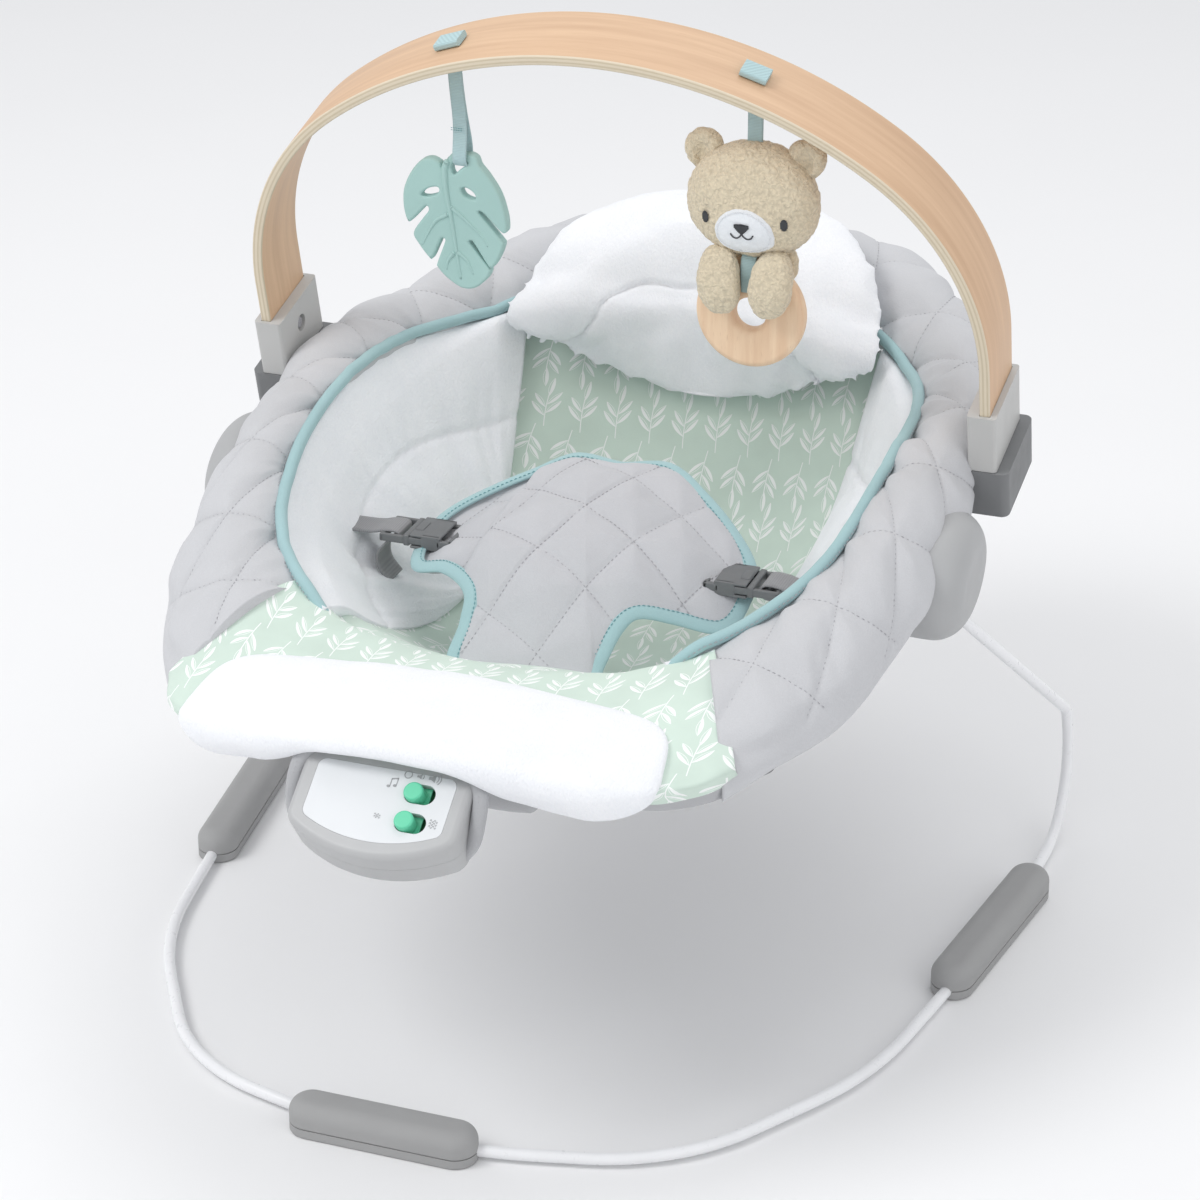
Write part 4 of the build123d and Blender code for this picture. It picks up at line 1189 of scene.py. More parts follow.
# The foot patch's edges: how far out from the middle, and the share of the way across the lip.
PATCH_TOP = ((0, 0.30), (40, 0.32), (80, 0.38), (112, 0.50), (130, 0.68), (138, 0.96))
PATCH_BOTTOM = (
    (0, 1.08), (30, 1.09), (46, 1.15), (61, 1.34), (78, 1.54), (98, 1.62), (119, 1.48), (134, 1.20),
    (138, 0.98),
)
PATCH_HALF = 138.0


def make_patch():
    """The white plush patch that a child's feet rest on, across the lip and over its front."""
    columns, rows = 220, 46
    inner, outer = lip_edges(400)
    steps = np.linspace(0, 1.9, 77)
    sheets = np.stack([lip_top(inner, outer, one) for one in steps])
    x = PATCH_HALF * np.sin(np.linspace(-1, 1, columns) * math.pi / 2) * 0.9995
    top = np.interp(np.abs(x), *through(PATCH_TOP, 200).T)
    bottom = np.maximum(np.interp(np.abs(x), *through(PATCH_BOTTOM, 200).T), top + 0.01)
    t = np.linspace(0, 1, rows)
    share = top[:, None] + (bottom - top)[:, None] * t
    p = np.zeros((columns, rows, 3))
    for i in range(columns):
        v = np.array([np.interp(x[i], sheet[:, 0], sheet[:, 1]) for sheet in sheets])
        w = np.array([np.interp(x[i], sheet[:, 0], sheet[:, 2]) for sheet in sheets])
        p[i, :, 0] = x[i]
        p[i, :, 1] = np.interp(share[i], steps, v)
        p[i, :, 2] = np.interp(share[i], steps, w)
    n = grid_normals(p)
    n *= np.where(n[..., 2:] - 0.6 * n[..., 1:2] < 0, -1, 1)
    n = sum(np.roll(n, k, 0) for k in range(-7, 8))
    n /= np.linalg.norm(n, axis=-1, keepdims=True)
    rounded = (1 - np.abs(x / PATCH_HALF)[:, None] ** 10) * (1 - np.abs(2 * t - 1)[None] ** 6)
    u, down = p[..., 0], share * 80
    wave = ripples(u, down, 45, 30, 41) * 1.6
    wrinkle = ripples(u, down, 15, 50, 43) * 0.9
    lift = 0.8 + np.sqrt(np.clip(rounded, 0, 1)) * (6.5 + wave + wrinkle)
    front = seat(p + n * lift[..., None])
    back = seat(p - n * 1.2)
    piece = grid_mesh("plush_foot_patch", np.concatenate([front, back[:, ::-1]], 1), closed_v=True, caps=True)
    modifier(piece, "SMOOTH", factor=0.5, iterations=5)
    apply_modifiers(piece)
    fix_normals(piece)
    place(dress(piece, "white_plush"), "seat", "white_plush", "foot_patch")


# ---------------------------------------------------------------- stuffed and simulated pieces
def fill_outline(outline, front, back, rings):
    """A closed lens-shaped grid between an outline and a front and a back surface."""
    shares = np.sin(np.linspace(0, 1, rings) * math.pi / 2)
    upper = np.stack([front(s) for s in shares])
    lower = np.stack([back(s) for s in shares[:-1]])
    count = len(outline)
    vertices = np.vstack([
        upper[0].mean(0), upper[1:].reshape(-1, 3), lower[0].mean(0), lower[1:].reshape(-1, 3),
    ])
    faces = []
    n = rings - 1
    back_start = 1 + n * count

    def front_index(i, j):
        return 1 + (i - 1) * count + j % count

    def back_index(i, j):
        if i == n:
            return front_index(n, j)
        return back_start + 1 + (i - 1) * count + j % count

    for j in range(count):
        faces.append((0, front_index(1, j), front_index(1, j + 1)))
        faces.append((back_start, back_index(1, j + 1), back_index(1, j)))
        for i in range(1, n):
            corners = ((i, j), (i + 1, j), (i + 1, j + 1), (i, j + 1))
            faces.append(tuple(front_index(*corner) for corner in corners))
            faces.append(tuple(back_index(*corner) for corner in reversed(corners)))
    return vertices, faces


def inflate(obj, voxel, pressure, cap, frames=20):
    """Puffs a closed mesh out like stuffed cloth, moving no point further than cap millimetres."""
    modifier(obj, "REMESH", mode="VOXEL", voxel_size=voxel * MM)
    apply_modifiers(obj)
    start = np.array([v.co for v in obj.data.vertices])
    cloth = obj.modifiers.new("cloth", "CLOTH")
    cloth.settings.use_pressure = True
    cloth.settings.uniform_pressure_force = pressure
    cloth.settings.effector_weights.gravity = 0.0
    cloth.settings.quality = 6
    cloth.settings.tension_stiffness = 18
    cloth.settings.compression_stiffness = 18
    cloth.settings.bending_stiffness = 0.6
    cloth.point_cache.frame_start = 1
    cloth.point_cache.frame_end = frames
    for f in range(1, frames + 1):
        bpy.context.scene.frame_set(f)
    apply_modifiers(obj)
    bpy.context.scene.frame_set(1)
    end = np.array([v.co for v in obj.data.vertices])
    move = end - start
    far = np.linalg.norm(move, axis=1, keepdims=True)
    move *= np.minimum(1, cap * MM / np.maximum(far, 1e-9))
    obj.data.vertices.foreach_set("co", (start + move).astype(np.float32).ravel())
    modifier(obj, "SMOOTH", factor=0.5, iterations=2)
    modifier(obj, "SUBSURF", levels=1)
    apply_modifiers(obj)
    obj.data.shade_smooth()
    return obj


def points_of(obj):
    """A mesh's points in millimetres, and its normals."""
    co = np.zeros(len(obj.data.vertices) * 3, np.float32)
    obj.data.vertices.foreach_get("co", co)
    normal = np.zeros_like(co)
    obj.data.vertices.foreach_get("normal", normal)
    return co.reshape(-1, 3).astype(float) / MM, normal.reshape(-1, 3).astype(float)


def set_points(obj, p):
    """Moves a mesh's points to places in millimetres."""
    obj.data.vertices.foreach_set("co", (p * MM).astype(np.float32).ravel())
    obj.data.update()


def far_from(p, line):
    """Distance from points to a line of points."""
    best = np.full(len(p), 1e9)
    for a in line:
        best = np.minimum(best, np.linalg.norm(p - a, axis=1))
    return best


def on_surface(obj, line, reach=40):
    """The surface points nearest to a line of points, no further away than reach."""
    found = []
    for point in line:
        hit, where, _, _ = obj.closest_point_on_mesh(Vector(point) * MM, distance=reach * MM)
        if hit:
            found.append(np.array(where) / MM)
    return np.array(found)


def press_seam(obj, line, width, depth, hollow, sink):
    """Draws the cloth in along a seam: a narrow crease in a wider, shallower hollow."""
    p, n = points_of(obj)
    d = far_from(p, on_surface(obj, through(line, 160)))
    set_points(obj, p - n * (depth * bump_line(d, width) + sink * bump_line(d, hollow))[:, None])


# ---------------------------------------------------------------- head pillow
# Half of the pillow's edge in the row frame, from the middle of its front hem round to the top.
PILLOW_EDGE = (
    (0, 216, 254), (45, 212, 259), (85, 203, 272), (115, 190, 290), (130, 183, 309), (131, 198, 322),
    (126, 218, 331), (120, 233, 344), (109, 247, 355), (90, 268, 366), (60, 288, 373), (0, 300, 375),
)
PILLOW_FRONT = (0, 224, 312)
PILLOW_BACK = (0, 246, 306)
PILLOW_LEAN = (0.0, -0.80, 0.60)
# The curved seam across the pillow's face, and the short one above its hem.
PILLOW_SEAM = (
    (-94, 194, 276), (-84, 196, 292), (-70, 198, 312), (-52, 205, 330), (-34, 211, 338), (0, 213, 340),
    (34, 211, 338), (50, 206, 330), (66, 200, 312), (76, 198, 294), (82, 198, 272),
)
PILLOW_HEM_SEAM = ((-60, 203, 262), (0, 208, 256), (60, 203, 262))


def make_pillow():
    """The plush head pillow, puffed out by the cloth solver, with its seams pressed in."""
    half = np.array(PILLOW_EDGE, float)
    other = half[1:-1][::-1] * np.array([-1, 1, 1])
    edge = through(np.vstack([half, other]), 220, closed=True)
    front_middle, back_middle = np.array(PILLOW_FRONT, float), np.array(PILLOW_BACK, float)
    lean = np.array(PILLOW_LEAN)
    high = smooth(edge[:, 2], 262, 330)
    top = smooth(edge[:, 2], 330, 375)

    def front(r):
        bulge = 17 * math.sin(math.pi * r**1.5) ** 0.9 * (0.35 + 0.65 * high)
        lift = np.outer(top * 6 * math.sin(math.pi * r**2), (0, 0.2, 1))
        return front_middle + (edge - front_middle) * r + lean * bulge[:, None] + lift

    def back(r):
        bulge = 20 * math.sin(math.pi * r**1.3) ** 0.8 * (0.25 + 0.75 * top)
        return back_middle + (edge - back_middle) * r - np.array([0, -0.45, 0.85]) * bulge[:, None]

    vertices, faces = fill_outline(edge, front, back, 26)
    piece = add_mesh("head_pillow_cover", vertices, faces)
    fix_normals(piece)
    inflate(piece, 4.5, 3.5, 7)
    press_seam(piece, PILLOW_SEAM, 1.5, 3.4, 14, 3.0)
    press_seam(piece, PILLOW_HEM_SEAM, 2.0, 1.4, 8, 1.0)
    p, n = points_of(piece)
    fold = lattice(p / np.array([18, 40, 60]), 51) * 1.1 + lattice(p / 34.0, 53) * 1.8
    pucker = lattice(p / 7.5, 55) * 0.55 * bump_line(far_from(p, edge[::2]), 7)
    set_points(piece, p + n * (fold + pucker)[:, None])
    piece.data.shade_smooth()
    dress(piece, "white_plush")
    place(piece, "seat", "white_plush", "head_pillow")


# ---------------------------------------------------------------- crotch pad and buckles
# The T pad's edge in the row frame, and places on it that give its height further in.
PAD_EDGE = (
    (-45, -100, 202), (-47, -76, 221), (-51, -60, 235), (-74, -42, 238), (-95, -33, 232),
    (-101, -12, 236), (-97, 18, 244), (-76, 42, 254), (-50, 53, 266), (-28, 59, 276), (0, 61, 273),
    (30, 61, 277), (55, 49, 268), (80, 33, 254), (99, 13, 241), (103, -10, 231), (96, -30, 221),
    (70, -42, 228), (50, -53, 233), (42, -66, 226), (38, -85, 212), (35, -100, 202), (-5, -103, 202),
)
PAD_INSIDE = (
    (-5, -85, 219), (-4, -62, 238), (-2, -40, 253), (0, -15, 264), (0, 15, 272), (0, 40, 276),
    (-40, -30, 256), (-40, 15, 266), (40, -30, 252), (45, 15, 266), (-75, 0, 250), (75, 0, 250),
)
PAD_FOLD_X = -54
PAD_MIDDLE = np.array([0.0, -8.0])
PAD_QUILT_PITCH = 57
PAD_TURN = (0.94, 0.34)  # cosine and sine of the quilting's turn


def thin_plate(known):
    """A smooth height over (x, y) through known points."""
    known = np.asarray(known, float)

    def kernel(r2):
        return 0.5 * r2 * np.log(np.maximum(r2, 1e-9))

    xy, z = known[:, :2] / 100, known[:, 2]
    r2 = ((xy[:, None] - xy[None]) ** 2).sum(-1)
    n = len(xy)
    side = np.hstack([np.ones((n, 1)), xy])
    matrix = np.zeros((n + 3, n + 3))
    matrix[:n, :n] = kernel(r2) + np.eye(n) * 0.002
    matrix[:n, n:] = side
    matrix[n:, :n] = side.T
    weights = np.linalg.solve(matrix, np.concatenate([z, [0, 0, 0]]))

    def height(x, y):
        q = np.stack([x, y], -1) / 100
        r2 = ((q[..., None, :] - xy) ** 2).sum(-1)
        return kernel(r2) @ weights[:n] + weights[n] + q @ weights[n + 1:]
    return height


def make_pad():
    """The quilted T pad between the legs, with its bound edge and its lines of stitches."""
    height = thin_plate(PAD_EDGE + PAD_INSIDE)
    edge = through(PAD_EDGE, 300, closed=True)
    c, s = PAD_TURN

    def surface(x, y, lift):
        return np.stack([x, y, height(x, y) + lift], -1)

    def drop(x, y, r):
        """How far the left wing lies below the rest, past its fold line."""
        past = 1 - smooth(x - PAD_FOLD_X - 0.12 * y, -3.5, 3.5)
        return -7.0 * past * smooth(y, -64, -40) * (1 - r**30)

    def detail(x, y, r):
        """The quilting, its wrinkles and the wing's drop, a share r of the way out to the edge."""
        d = quilt_distance(x * c + y * s, y * c - x * s, PAD_QUILT_PITCH, 1.0)
        puff = 4.2 * (1 - bump_line(d, 11)) - 1.4 * bump_line(d, 1.5)
        wrinkle = ripples(x, y, 13, 30, 61) + ripples(x, y, 36, 26, 63) * 1.6
        return (puff + wrinkle) * (1 - r**8) + drop(x, y, r)

    def front(r):
        x, y = (PAD_MIDDLE + (edge[:, :2] - PAD_MIDDLE) * r).T
        return surface(x, y, 3.0 * (1 - r**10) + detail(x, y, r) + 0.5)

    def back(r):
        x, y = (PAD_MIDDLE + (edge[:, :2] - PAD_MIDDLE) * r).T
        return surface(x, y, -3.0 * (1 - r**10) + drop(x, y, r) - 0.5)

    vertices, faces = fill_outline(edge, front, back, 70)
    piece = add_mesh("quilted_t_pad", vertices, faces)
    fix_normals(piece)
    dress(piece, "pad_quilt")
    place(piece, "seat", "pad_quilt", "crotch_pad")

    rim = edge.copy()
    rim[:, 2] = height(rim[:, 0], rim[:, 1])
    slope = np.stack([
        height(rim[:, 0] + 1, rim[:, 1]) - height(rim[:, 0] - 1, rim[:, 1]),
        height(rim[:, 0], rim[:, 1] + 1) - height(rim[:, 0], rim[:, 1] - 1),
    ], -1) / 2
    up = np.concatenate([-slope, np.ones((len(rim), 1))], -1)
    up /= np.linalg.norm(up, axis=1, keepdims=True)
    binding = tube("pad_binding", rim, 4.8, 16, closed=True, flat=0.42, up=up)
    dress(binding, "teal_piping")
    place(binding, "seat", "teal_piping")
    inward = np.cross(up, np.roll(rim, -1, 0) - np.roll(rim, 1, 0))
    inward /= np.linalg.norm(inward, axis=1, keepdims=True)
    towards = np.append(PAD_MIDDLE, 250.0) - rim
    inward *= np.sign(np.sum(inward * towards, axis=1, keepdims=True))
    row = rim + inward * 3.2 + up * 1.75
    sewn = dress(stitches("pad_binding_stitching", row, up, 3.0, 0.6, 0.3, 0.1), "", THREAD_TEAL)
    place(sewn, "seat", "teal_piping")

    threads = []
    t = np.linspace(-150, 150, 240)
    sewn_area = edge[:, :2] * 0.965 + PAD_MIDDLE * 0.035
    for sign in (1, -1):
        for k in range(-4, 5):
            a = k * PAD_QUILT_PITCH - sign * t
            x, y = a * c - t * s, a * s + t * c
            run = np.flatnonzero(inside_outline(x, y, sewn_area))
            if len(run) < 12:
                continue
            for part in np.split(run, np.flatnonzero(np.diff(run) > 1) + 1):
                if len(part) < 10:
                    continue
                line = surface(x[part], y[part], 3.5 + detail(x[part], y[part], 0.5))
                threads.append(stitches("t", line, (0.0, -0.3, 0.95), 3.4, 0.6, 0.28, 0.25))
    sewn = dress(join("pad_quilt_stitching", threads), "", THREAD_GREY)
    place(sewn, "seat", "pad_quilt")


def inside_outline(x, y, outline):
    """Which points lie inside a closed outline."""
    result = np.zeros(len(x), bool)
    for (x0, y0), (x1, y1) in zip(outline, np.roll(outline, -1, 0)):
        crosses = (y0 > y) != (y1 > y)
        with np.errstate(divide="ignore", invalid="ignore"):
            at = (x1 - x0) * (y - y0) / (y1 - y0) + x0
        result ^= crosses & (x < at)
    return result


def block(name, low, high, bevel=1.0, segments=3):
    """A box with rounded edges."""
    bm = bmesh.new()
    bmesh.ops.create_cube(bm, size=1)
    low, high = np.minimum(low, high), np.maximum(low, high)
    for v in bm.verts:
        v.co = Vector([low[k] + (high[k] - low[k]) * (v.co[k] + 0.5) for k in range(3)]) * MM
    bevel = min(bevel, 0.49 * float(min(high - low)))
    bmesh.ops.bevel(bm, geom=bm.edges[:], offset=bevel * MM, segments=segments, profile=0.6, affect="EDGES")
    mesh = bpy.data.meshes.new(name)
    bm.to_mesh(mesh)
    bm.free()
    mesh.shade_smooth()
    return link(name, mesh)


def strap(name, line, width_way, width, thickness=1.2, rows=9):
    """A flat strap along a line of points, its width in one fixed direction."""
    line = np.asarray(line, float)
    way = np.asarray(width_way, float)
    across_strap = np.linspace(-0.5, 0.5, rows)
    p = line[:, None] + way[None, None] * (across_strap * width)[None, :, None]
    return shell(name, p, thickness, cloth_lengths(p))


# Blocks of a waist buckle's two halves: from and to along the strap, across it and through its
# thickness, measured from the buckle's inner end, and the size of the bevel.
BUCKLE_SOCKET = (
    ((0, 20), (-14, 14), (3.0, 4.6), 1.2),
    ((0, 20), (-14, 14), (-4.6, -3.0), 1.2),
    ((0, 13), (-14, -11), (-4.6, 4.6), 1.2),
    ((0, 13), (11, 14), (-4.6, 4.6), 1.2),
    ((-7, -4), (-14, 14), (-2.6, 2.6), 1.1),
    ((-7, 3), (-14, -11), (-2.6, 2.6), 1.1),
    ((-7, 3), (11, 14), (-2.6, 2.6), 1.1),
    ((14, 19.5), (-6, 6), (4.0, 5.1), 0.5),
)
BUCKLE_TONGUE = (
    ((9, 22), (-13.7, -10.6), (-2.4, 2.4), 1.2),
    ((9, 22), (10.6, 13.7), (-2.4, 2.4), 1.2),
    ((8, 22), (-2.5, 2.5), (-1.6, 1.6), 0.8),
    ((20.4, 24.5), (-14, 14), (-3.6, 3.6), 1.2),
    ((24, 40), (-14, -11.6), (-2.6, 2.6), 1.0),
    ((24, 40), (11.6, 14), (-2.6, 2.6), 1.0),
    ((29.5, 31.5), (-13, 13), (-2.2, 1.4), 0.9),
    ((37.2, 40), (-14, 14), (-2.6, 2.6), 1.2),
)
# The webbing's line through the tongue's bar and back under it, as (along, across, through).
WEBBING_LINE = (
    (48, 0, 1.0), (40, 0, 2.8), (33, 0, 3.6), (29, 0, 2.4), (28.2, 0, -0.5), (30, 0, -3.4),
    (36, 0, -5.2), (42, -1, -13), (41, -2, -22), (34, -3, -30),
)
WEBBING_REACH = 66  # how far past the buckle's inner end the webbing starts, inside the wall


def make_buckle(name, side):
    """One side-release buckle and its waist strap."""
    low, high = np.array(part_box(f"buckle_{name}")) / MM
    inner = low[0] if side > 0 else high[0]
    y, z = (low[1] + high[1]) / 2, (low[2] + high[2]) / 2

    def blocks(rows):
        made = []
        for along, wide, deep, bevel in rows:
            ends = [(inner + side * a, y + b, z + c) for a, b, c in zip(along, wide, deep)]
            made.append(block("p", *ends, bevel))
        return made

    body = dress(join(f"buckle_body_{name}", blocks(BUCKLE_SOCKET)), "buckle_grey")
    place(body, "seat", "buckle_grey", f"buckle_{name}")
    tongue = dress(join(f"buckle_clip_{name}", blocks(BUCKLE_TONGUE)), "buckle_grey")
    place(tongue, f"{name}_belt", "buckle_grey", f"buckle_tongue_{name}")

    line = [(side * (abs(inner) + WEBBING_REACH), y, z + 0.5)]
    line += [(inner + side * a, y + b, z + c) for a, b, c in WEBBING_LINE]
    belt = dress(strap(f"waist_webbing_{name}", through(line, 90), (0, 1, 0), 20.0, 1.3), "webbing")
    place(belt, f"{name}_belt", "webbing", f"waist_strap_{name}")


# ---------------------------------------------------------------- hanging toys
def blob(name, centre, half, count, power, fuzz, seed, shape=None):
    """A rounded stuffed form with a fuzzy surface. shape may move its points."""
    u = np.linspace(0, 2 * math.pi, count[0], endpoint=False)
    t = np.linspace(0.02, math.pi - 0.02, count[1])
    uu, tt = np.meshgrid(u, t, indexing="ij")

    def root(a):
        return np.sign(a) * np.abs(a) ** (2 / power)

    girth = np.sin(tt) ** (2 / power)
    p = np.stack([girth * root(np.cos(uu)), girth * root(np.sin(uu)), root(np.cos(tt))], -1)
    p = p * np.asarray(half, float)
    if shape:
        p = shape(p)
    n = grid_normals(p, closed_u=True)
    n *= np.sign(np.sum(n * p, axis=-1, keepdims=True))
    fine = lattice(p / 1.7, seed) * fuzz + lattice(p / 9.0, seed + 1) * fuzz * 1.4
    p = p + n * fine[..., None] + np.asarray(centre, float)
    piece = grid_mesh(name, p, closed_u=True)
    bm = bmesh.new()
    bm.from_mesh(piece.data)
    holes = [e for e in bm.edges if e.is_boundary]
    bmesh.ops.holes_fill(bm, edges=holes, sides=0)
    bmesh.ops.recalc_face_normals(bm, faces=bm.faces)
    bm.to_mesh(piece.data)
    bm.free()
    piece.data.shade_smooth()
    return piece


HEAD_HALF = (39, 21, 34)
HEAD_POWER = 2.15  # how boxy the head is: 2 is an ellipsoid
MUZZLE_DROP = 14.5  # how far the muzzle's middle lies below the head's
EYE = (23.5, -8.5)
# Half of the bear's smile, from under its nose, in face millimetres from the head's middle.
SMILE = ((0, -14.5), (1.0, -16.2), (3.0, -17.6), (5.2, -17.2), (6.6, -15.4))


def middle_of(node):
    """The middle of a CAD node's box, in millimetres."""
    return np.mean(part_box(node), axis=0) / MM


RING_MIDDLE = middle_of("wood_ring")
HEAD_MIDDLE = (RING_MIDDLE[0], RING_MIDDLE[1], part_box("bear_head")[0][2] / MM + 33)


def on_face(dx, dz, lift=0.0):
    """A point of the bear's face, dx and dz from the head's middle, lifted off the skin."""
    x, y, z = HEAD_MIDDLE
    share = (abs(dx) / HEAD_HALF[0]) ** HEAD_POWER + (abs(dz) / HEAD_HALF[2]) ** HEAD_POWER
    return x + dx, y - HEAD_HALF[1] * max(0.0, 1 - share) ** (1 / HEAD_POWER) - lift, z + dz


def make_bear_head():
    """The bear's stuffed head with its two ears."""
    x, y, z = HEAD_MIDDLE

    def head_shape(p):
        q = p.copy()
        below, above = np.clip(-p[..., 2] / 34, 0, 1), np.clip(p[..., 2] / 34, 0, 1)
        q[..., 0] *= 1 + 0.05 * below - 0.10 * above**2
        q[..., 2] -= 1.5 * below * (np.abs(p[..., 1]) < 1.5)
        return q

    parts = [blob("bear_head_cover", (x, y, z), HEAD_HALF, (190, 120), HEAD_POWER, 0.5, 71, head_shape)]
    for side in SIDES.values():

        def ear_shape(p):
            q = p.copy()
            hollow = bump_line(p[..., 0] - side, 4.5) * bump_line(p[..., 2] + 2, 8) * (p[..., 1] < 0)
            q[..., 1] += 4.6 * hollow
            q[..., 0] *= 1 - 0.18 * np.clip(-p[..., 2] / 12, 0, 1)
            return q

        middle = (x + side * 30.5, y + 1, z + 26)
        parts.append(blob("ear", middle, (11.5, 5.6, 12.0), (80, 56), 2.2, 0.4, 73 + side, ear_shape))
    head = dress(join("bear_head_cover", parts), "bear_plush")
    place(head, "bear_toy", "bear_plush", "bear_head")


def make_bear_face():
    """The muzzle patch, its stitches, and the embroidered eyes, nose and mouth."""
    x, y, z = HEAD_MIDDLE
    front = y - 20.0

    def muzzle_shape(p):
        q = p.copy()
        q[..., 2] -= 2.5 * (np.abs(p[..., 0]) / 17.5) ** 2
        for index in np.ndindex(p.shape[:2]):
            q[index][1] += on_face(q[index][0], q[index][2] - MUZZLE_DROP)[1] - front
        return q

    middle = (x, front, z - MUZZLE_DROP)
    muzzle = blob("bear_muzzle_patch", middle, (17.6, 3.0, 14.2), (110, 60), 2.2, 0.25, 75, muzzle_shape)
    place(dress(muzzle, "bear_white"), "bear_toy", "bear_white", "bear_muzzle")

    ring = []
    for a in np.linspace(0, 2 * math.pi, 121):
        drop = 2.2 * math.cos(a) ** 2
        ring.append(on_face(16.2 * math.cos(a), 12.9 * math.sin(a) - MUZZLE_DROP - drop, 2.0))
    sewn = stitches("muzzle_stitching", ring, (0.0, -1, 0), 1.4, 0.75, 0.3, 0.25)
    place(dress(sewn, "bear_white"), "bear_toy", "bear_white")

    def thread(dx, top, low, lift, count):
        line = [on_face(dx, dz, lift) for dz in np.linspace(top, low, count)]
        return tube("thread", line, 0.42, 6)

    marks = []
    for side in SIDES.values():
        for t in (np.arange(7) + 0.5) / 7 * 2 - 1:
            reach = 3.3 * math.sqrt(max(0.05, 1 - t * t))
            marks.append(thread(side * EYE[0] + t * 1.9, EYE[1] + reach, EYE[1] - reach, 0.6, 7))
    for t in (np.arange(13) + 0.5) / 13 * 2 - 1:
        marks.append(thread(t * 4.4, -8.6 - 0.6 * abs(t), -14.6 + 4.2 * abs(t) ** 1.3, 3.3, 6))
    for side in SIDES.values():
        line = [on_face(side * dx, dz, 3.15) for dx, dz in SMILE]
        marks.append(tube("thread", through(line, 24), 0.5, 8))
    marks = dress(join("bear_embroidery", marks), "", THREAD_DARK)
    place(marks, "bear_toy", "bear_white")


def make_bear_arms():
    """The arms that hold the wooden ring: a paw in front of it and a hook behind on each side."""
    x, y, ring_z = RING_MIDDLE
    arms = []
    for side in SIDES.values():

        def arm_shape(p):
            q = p.copy()
            q[..., 0] += side * 1.6 * (p[..., 2] / 20)
            q[..., 1] += 5.0 * np.clip(p[..., 2] / 20, 0, 1)
            return q

        middle = (x + side * 15.8, y - 15.0, ring_z + 22.5)
        arms.append(blob("arm", middle, (12.4, 8.2, 19.5), (90, 90), 2.5, 0.5, 80 + side, arm_shape))
        middle = (x + side * 14.5, y + 10.5, ring_z + 28)
        arms.append(blob("hook", middle, (10.0, 4.6, 12.0), (60, 50), 2.4, 0.4, 84 + side))
    arms = dress(join("bear_arms_cover", arms), "bear_plush")
    place(arms, "bear_toy", "bear_plush", "bear_arms")


def make_bear_ribbons():
    """The ribbon the bear hangs from, and the one that ties the wooden ring to it."""
    x, y, head_z = HEAD_MIDDLE
    ring_z = RING_MIDDLE[2]
    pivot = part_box("bear_strap")[1][2] / MM
    line = [(x, y, pivot), (x, y + 0.3, head_z + 40), (x, y, head_z + 30)]
    upper = strap("bear_ribbon", through(line, 40), (1, 0, 0), 9.0, 1.0)
    line = [(x, y - 4, head_z - 30), (x, y - 8.4, head_z - 36)]
    line += [(x, y - 8.6, ring_z + 24), (x, y - 7.0, ring_z + 14)]
    lower = strap("ring_ribbon", through(line, 30), (1, 0, 0), 9.0, 1.0)
    ribbon = dress(join("bear_ribbon", [upper, lower]), "teal_ribbon")
    place(ribbon, "bear_toy", "teal_ribbon", "bear_strap")


# Outline of the leaf teether in its own (x, z), from the left of its stem round and back to it.
LEAF_OUTLINE = (
    (-6.6, 34), (-9.5, 37.6), (-15.4, 39.6), (-21.6, 37), (-28, 29), (-32.3, 19), (-33, 10), (-32, 3),
    (-30.2, -1.4), (-28.2, -1.0), (-22, 5.6), (-18.6, 9.2), (-16.9, 8.6), (-17.2, 6), (-21, 1),
    (-26.8, -8.2), (-23.5, -15), (-16.8, -23), (-14.8, -22.6), (-11, -14.5), (-8.6, -9.6), (-6.6, -10.4),
    (-7.6, -14), (-12, -25.6), (-11.8, -28), (-6.6, -33.5), (1.5, -38.6), (7.5, -39.6), (13.6, -37.6),
    (19.6, -32), (21.8, -28), (21.6, -25.4), (14.5, -17), (9, -10.4), (9.6, -9.2), (11.8, -10.2),
    (20.6, -23.4), (23.6, -24.2), (27, -19.4), (29.8, -13), (30.8, -9), (30, -7.2), (21, 2.5), (15, 9),
    (16.8, 9.8), (20.5, 7), (29, -1.2), (32, -1.6), (33.1, 1), (32.4, 9), (28.4, 21.6), (21.6, 32),
    (16.4, 38), (14.4, 42.6), (10.6, 44.6), (7, 44.2), (3, 44.4), (-2.4, 42.6),
)
LEAF_HOLES = (
    ((-21.4, 16.2), (-17, 20.4), (-11.4, 22), (-9.8, 20), (-12.2, 17.2), (-18, 15.4)),
    ((4.4, 22.4), (7.6, 23.4), (12, 21), (13.6, 17.6), (10.6, 16.8), (6, 18.6)),
    ((-1.6, 36), (1.4, 38.8), (7, 39.2), (8.2, 38.2), (3.2, 33.8), (-0.4, 31)),
)
LEAF_VEINS = (
    ((-4.4, 38), (-5.8, 33), (-4.8, 19), (-2.2, 5), (0.4, -12.5), (3.4, -33)),
    ((-4.4, 6), (-12, 1), (-17.4, -7.5), (-20.8, -14.5)),
    ((-1.6, 10.4), (9.6, 1.6), (17, -5.4), (20.8, -11)),
    ((-1.2, -18), (-4.6, -23), (-5.6, -28.4)),
    ((1.4, -16.6), (7.6, -21.6), (11.3, -29.2)),
)


LEAF_MIDDLE = 40.5  # height of the leaf's own origin over its lowest point
LEAF_RING = 41.6  # height of the stem's ring over that origin
RIBBON_ASIDE = 4.6  # how far to the side the ribbon passes through the ring
# The ribbon's loop: (y, height over the ring), down the front, through the ring and up the back.
RIBBON_LOOP = (
    (-1.2, 24), (-5.6, 5), (-5.4, -2), (-1.0, -5.4), (4.4, -3), (5.2, 5), (2.0, 26),
)


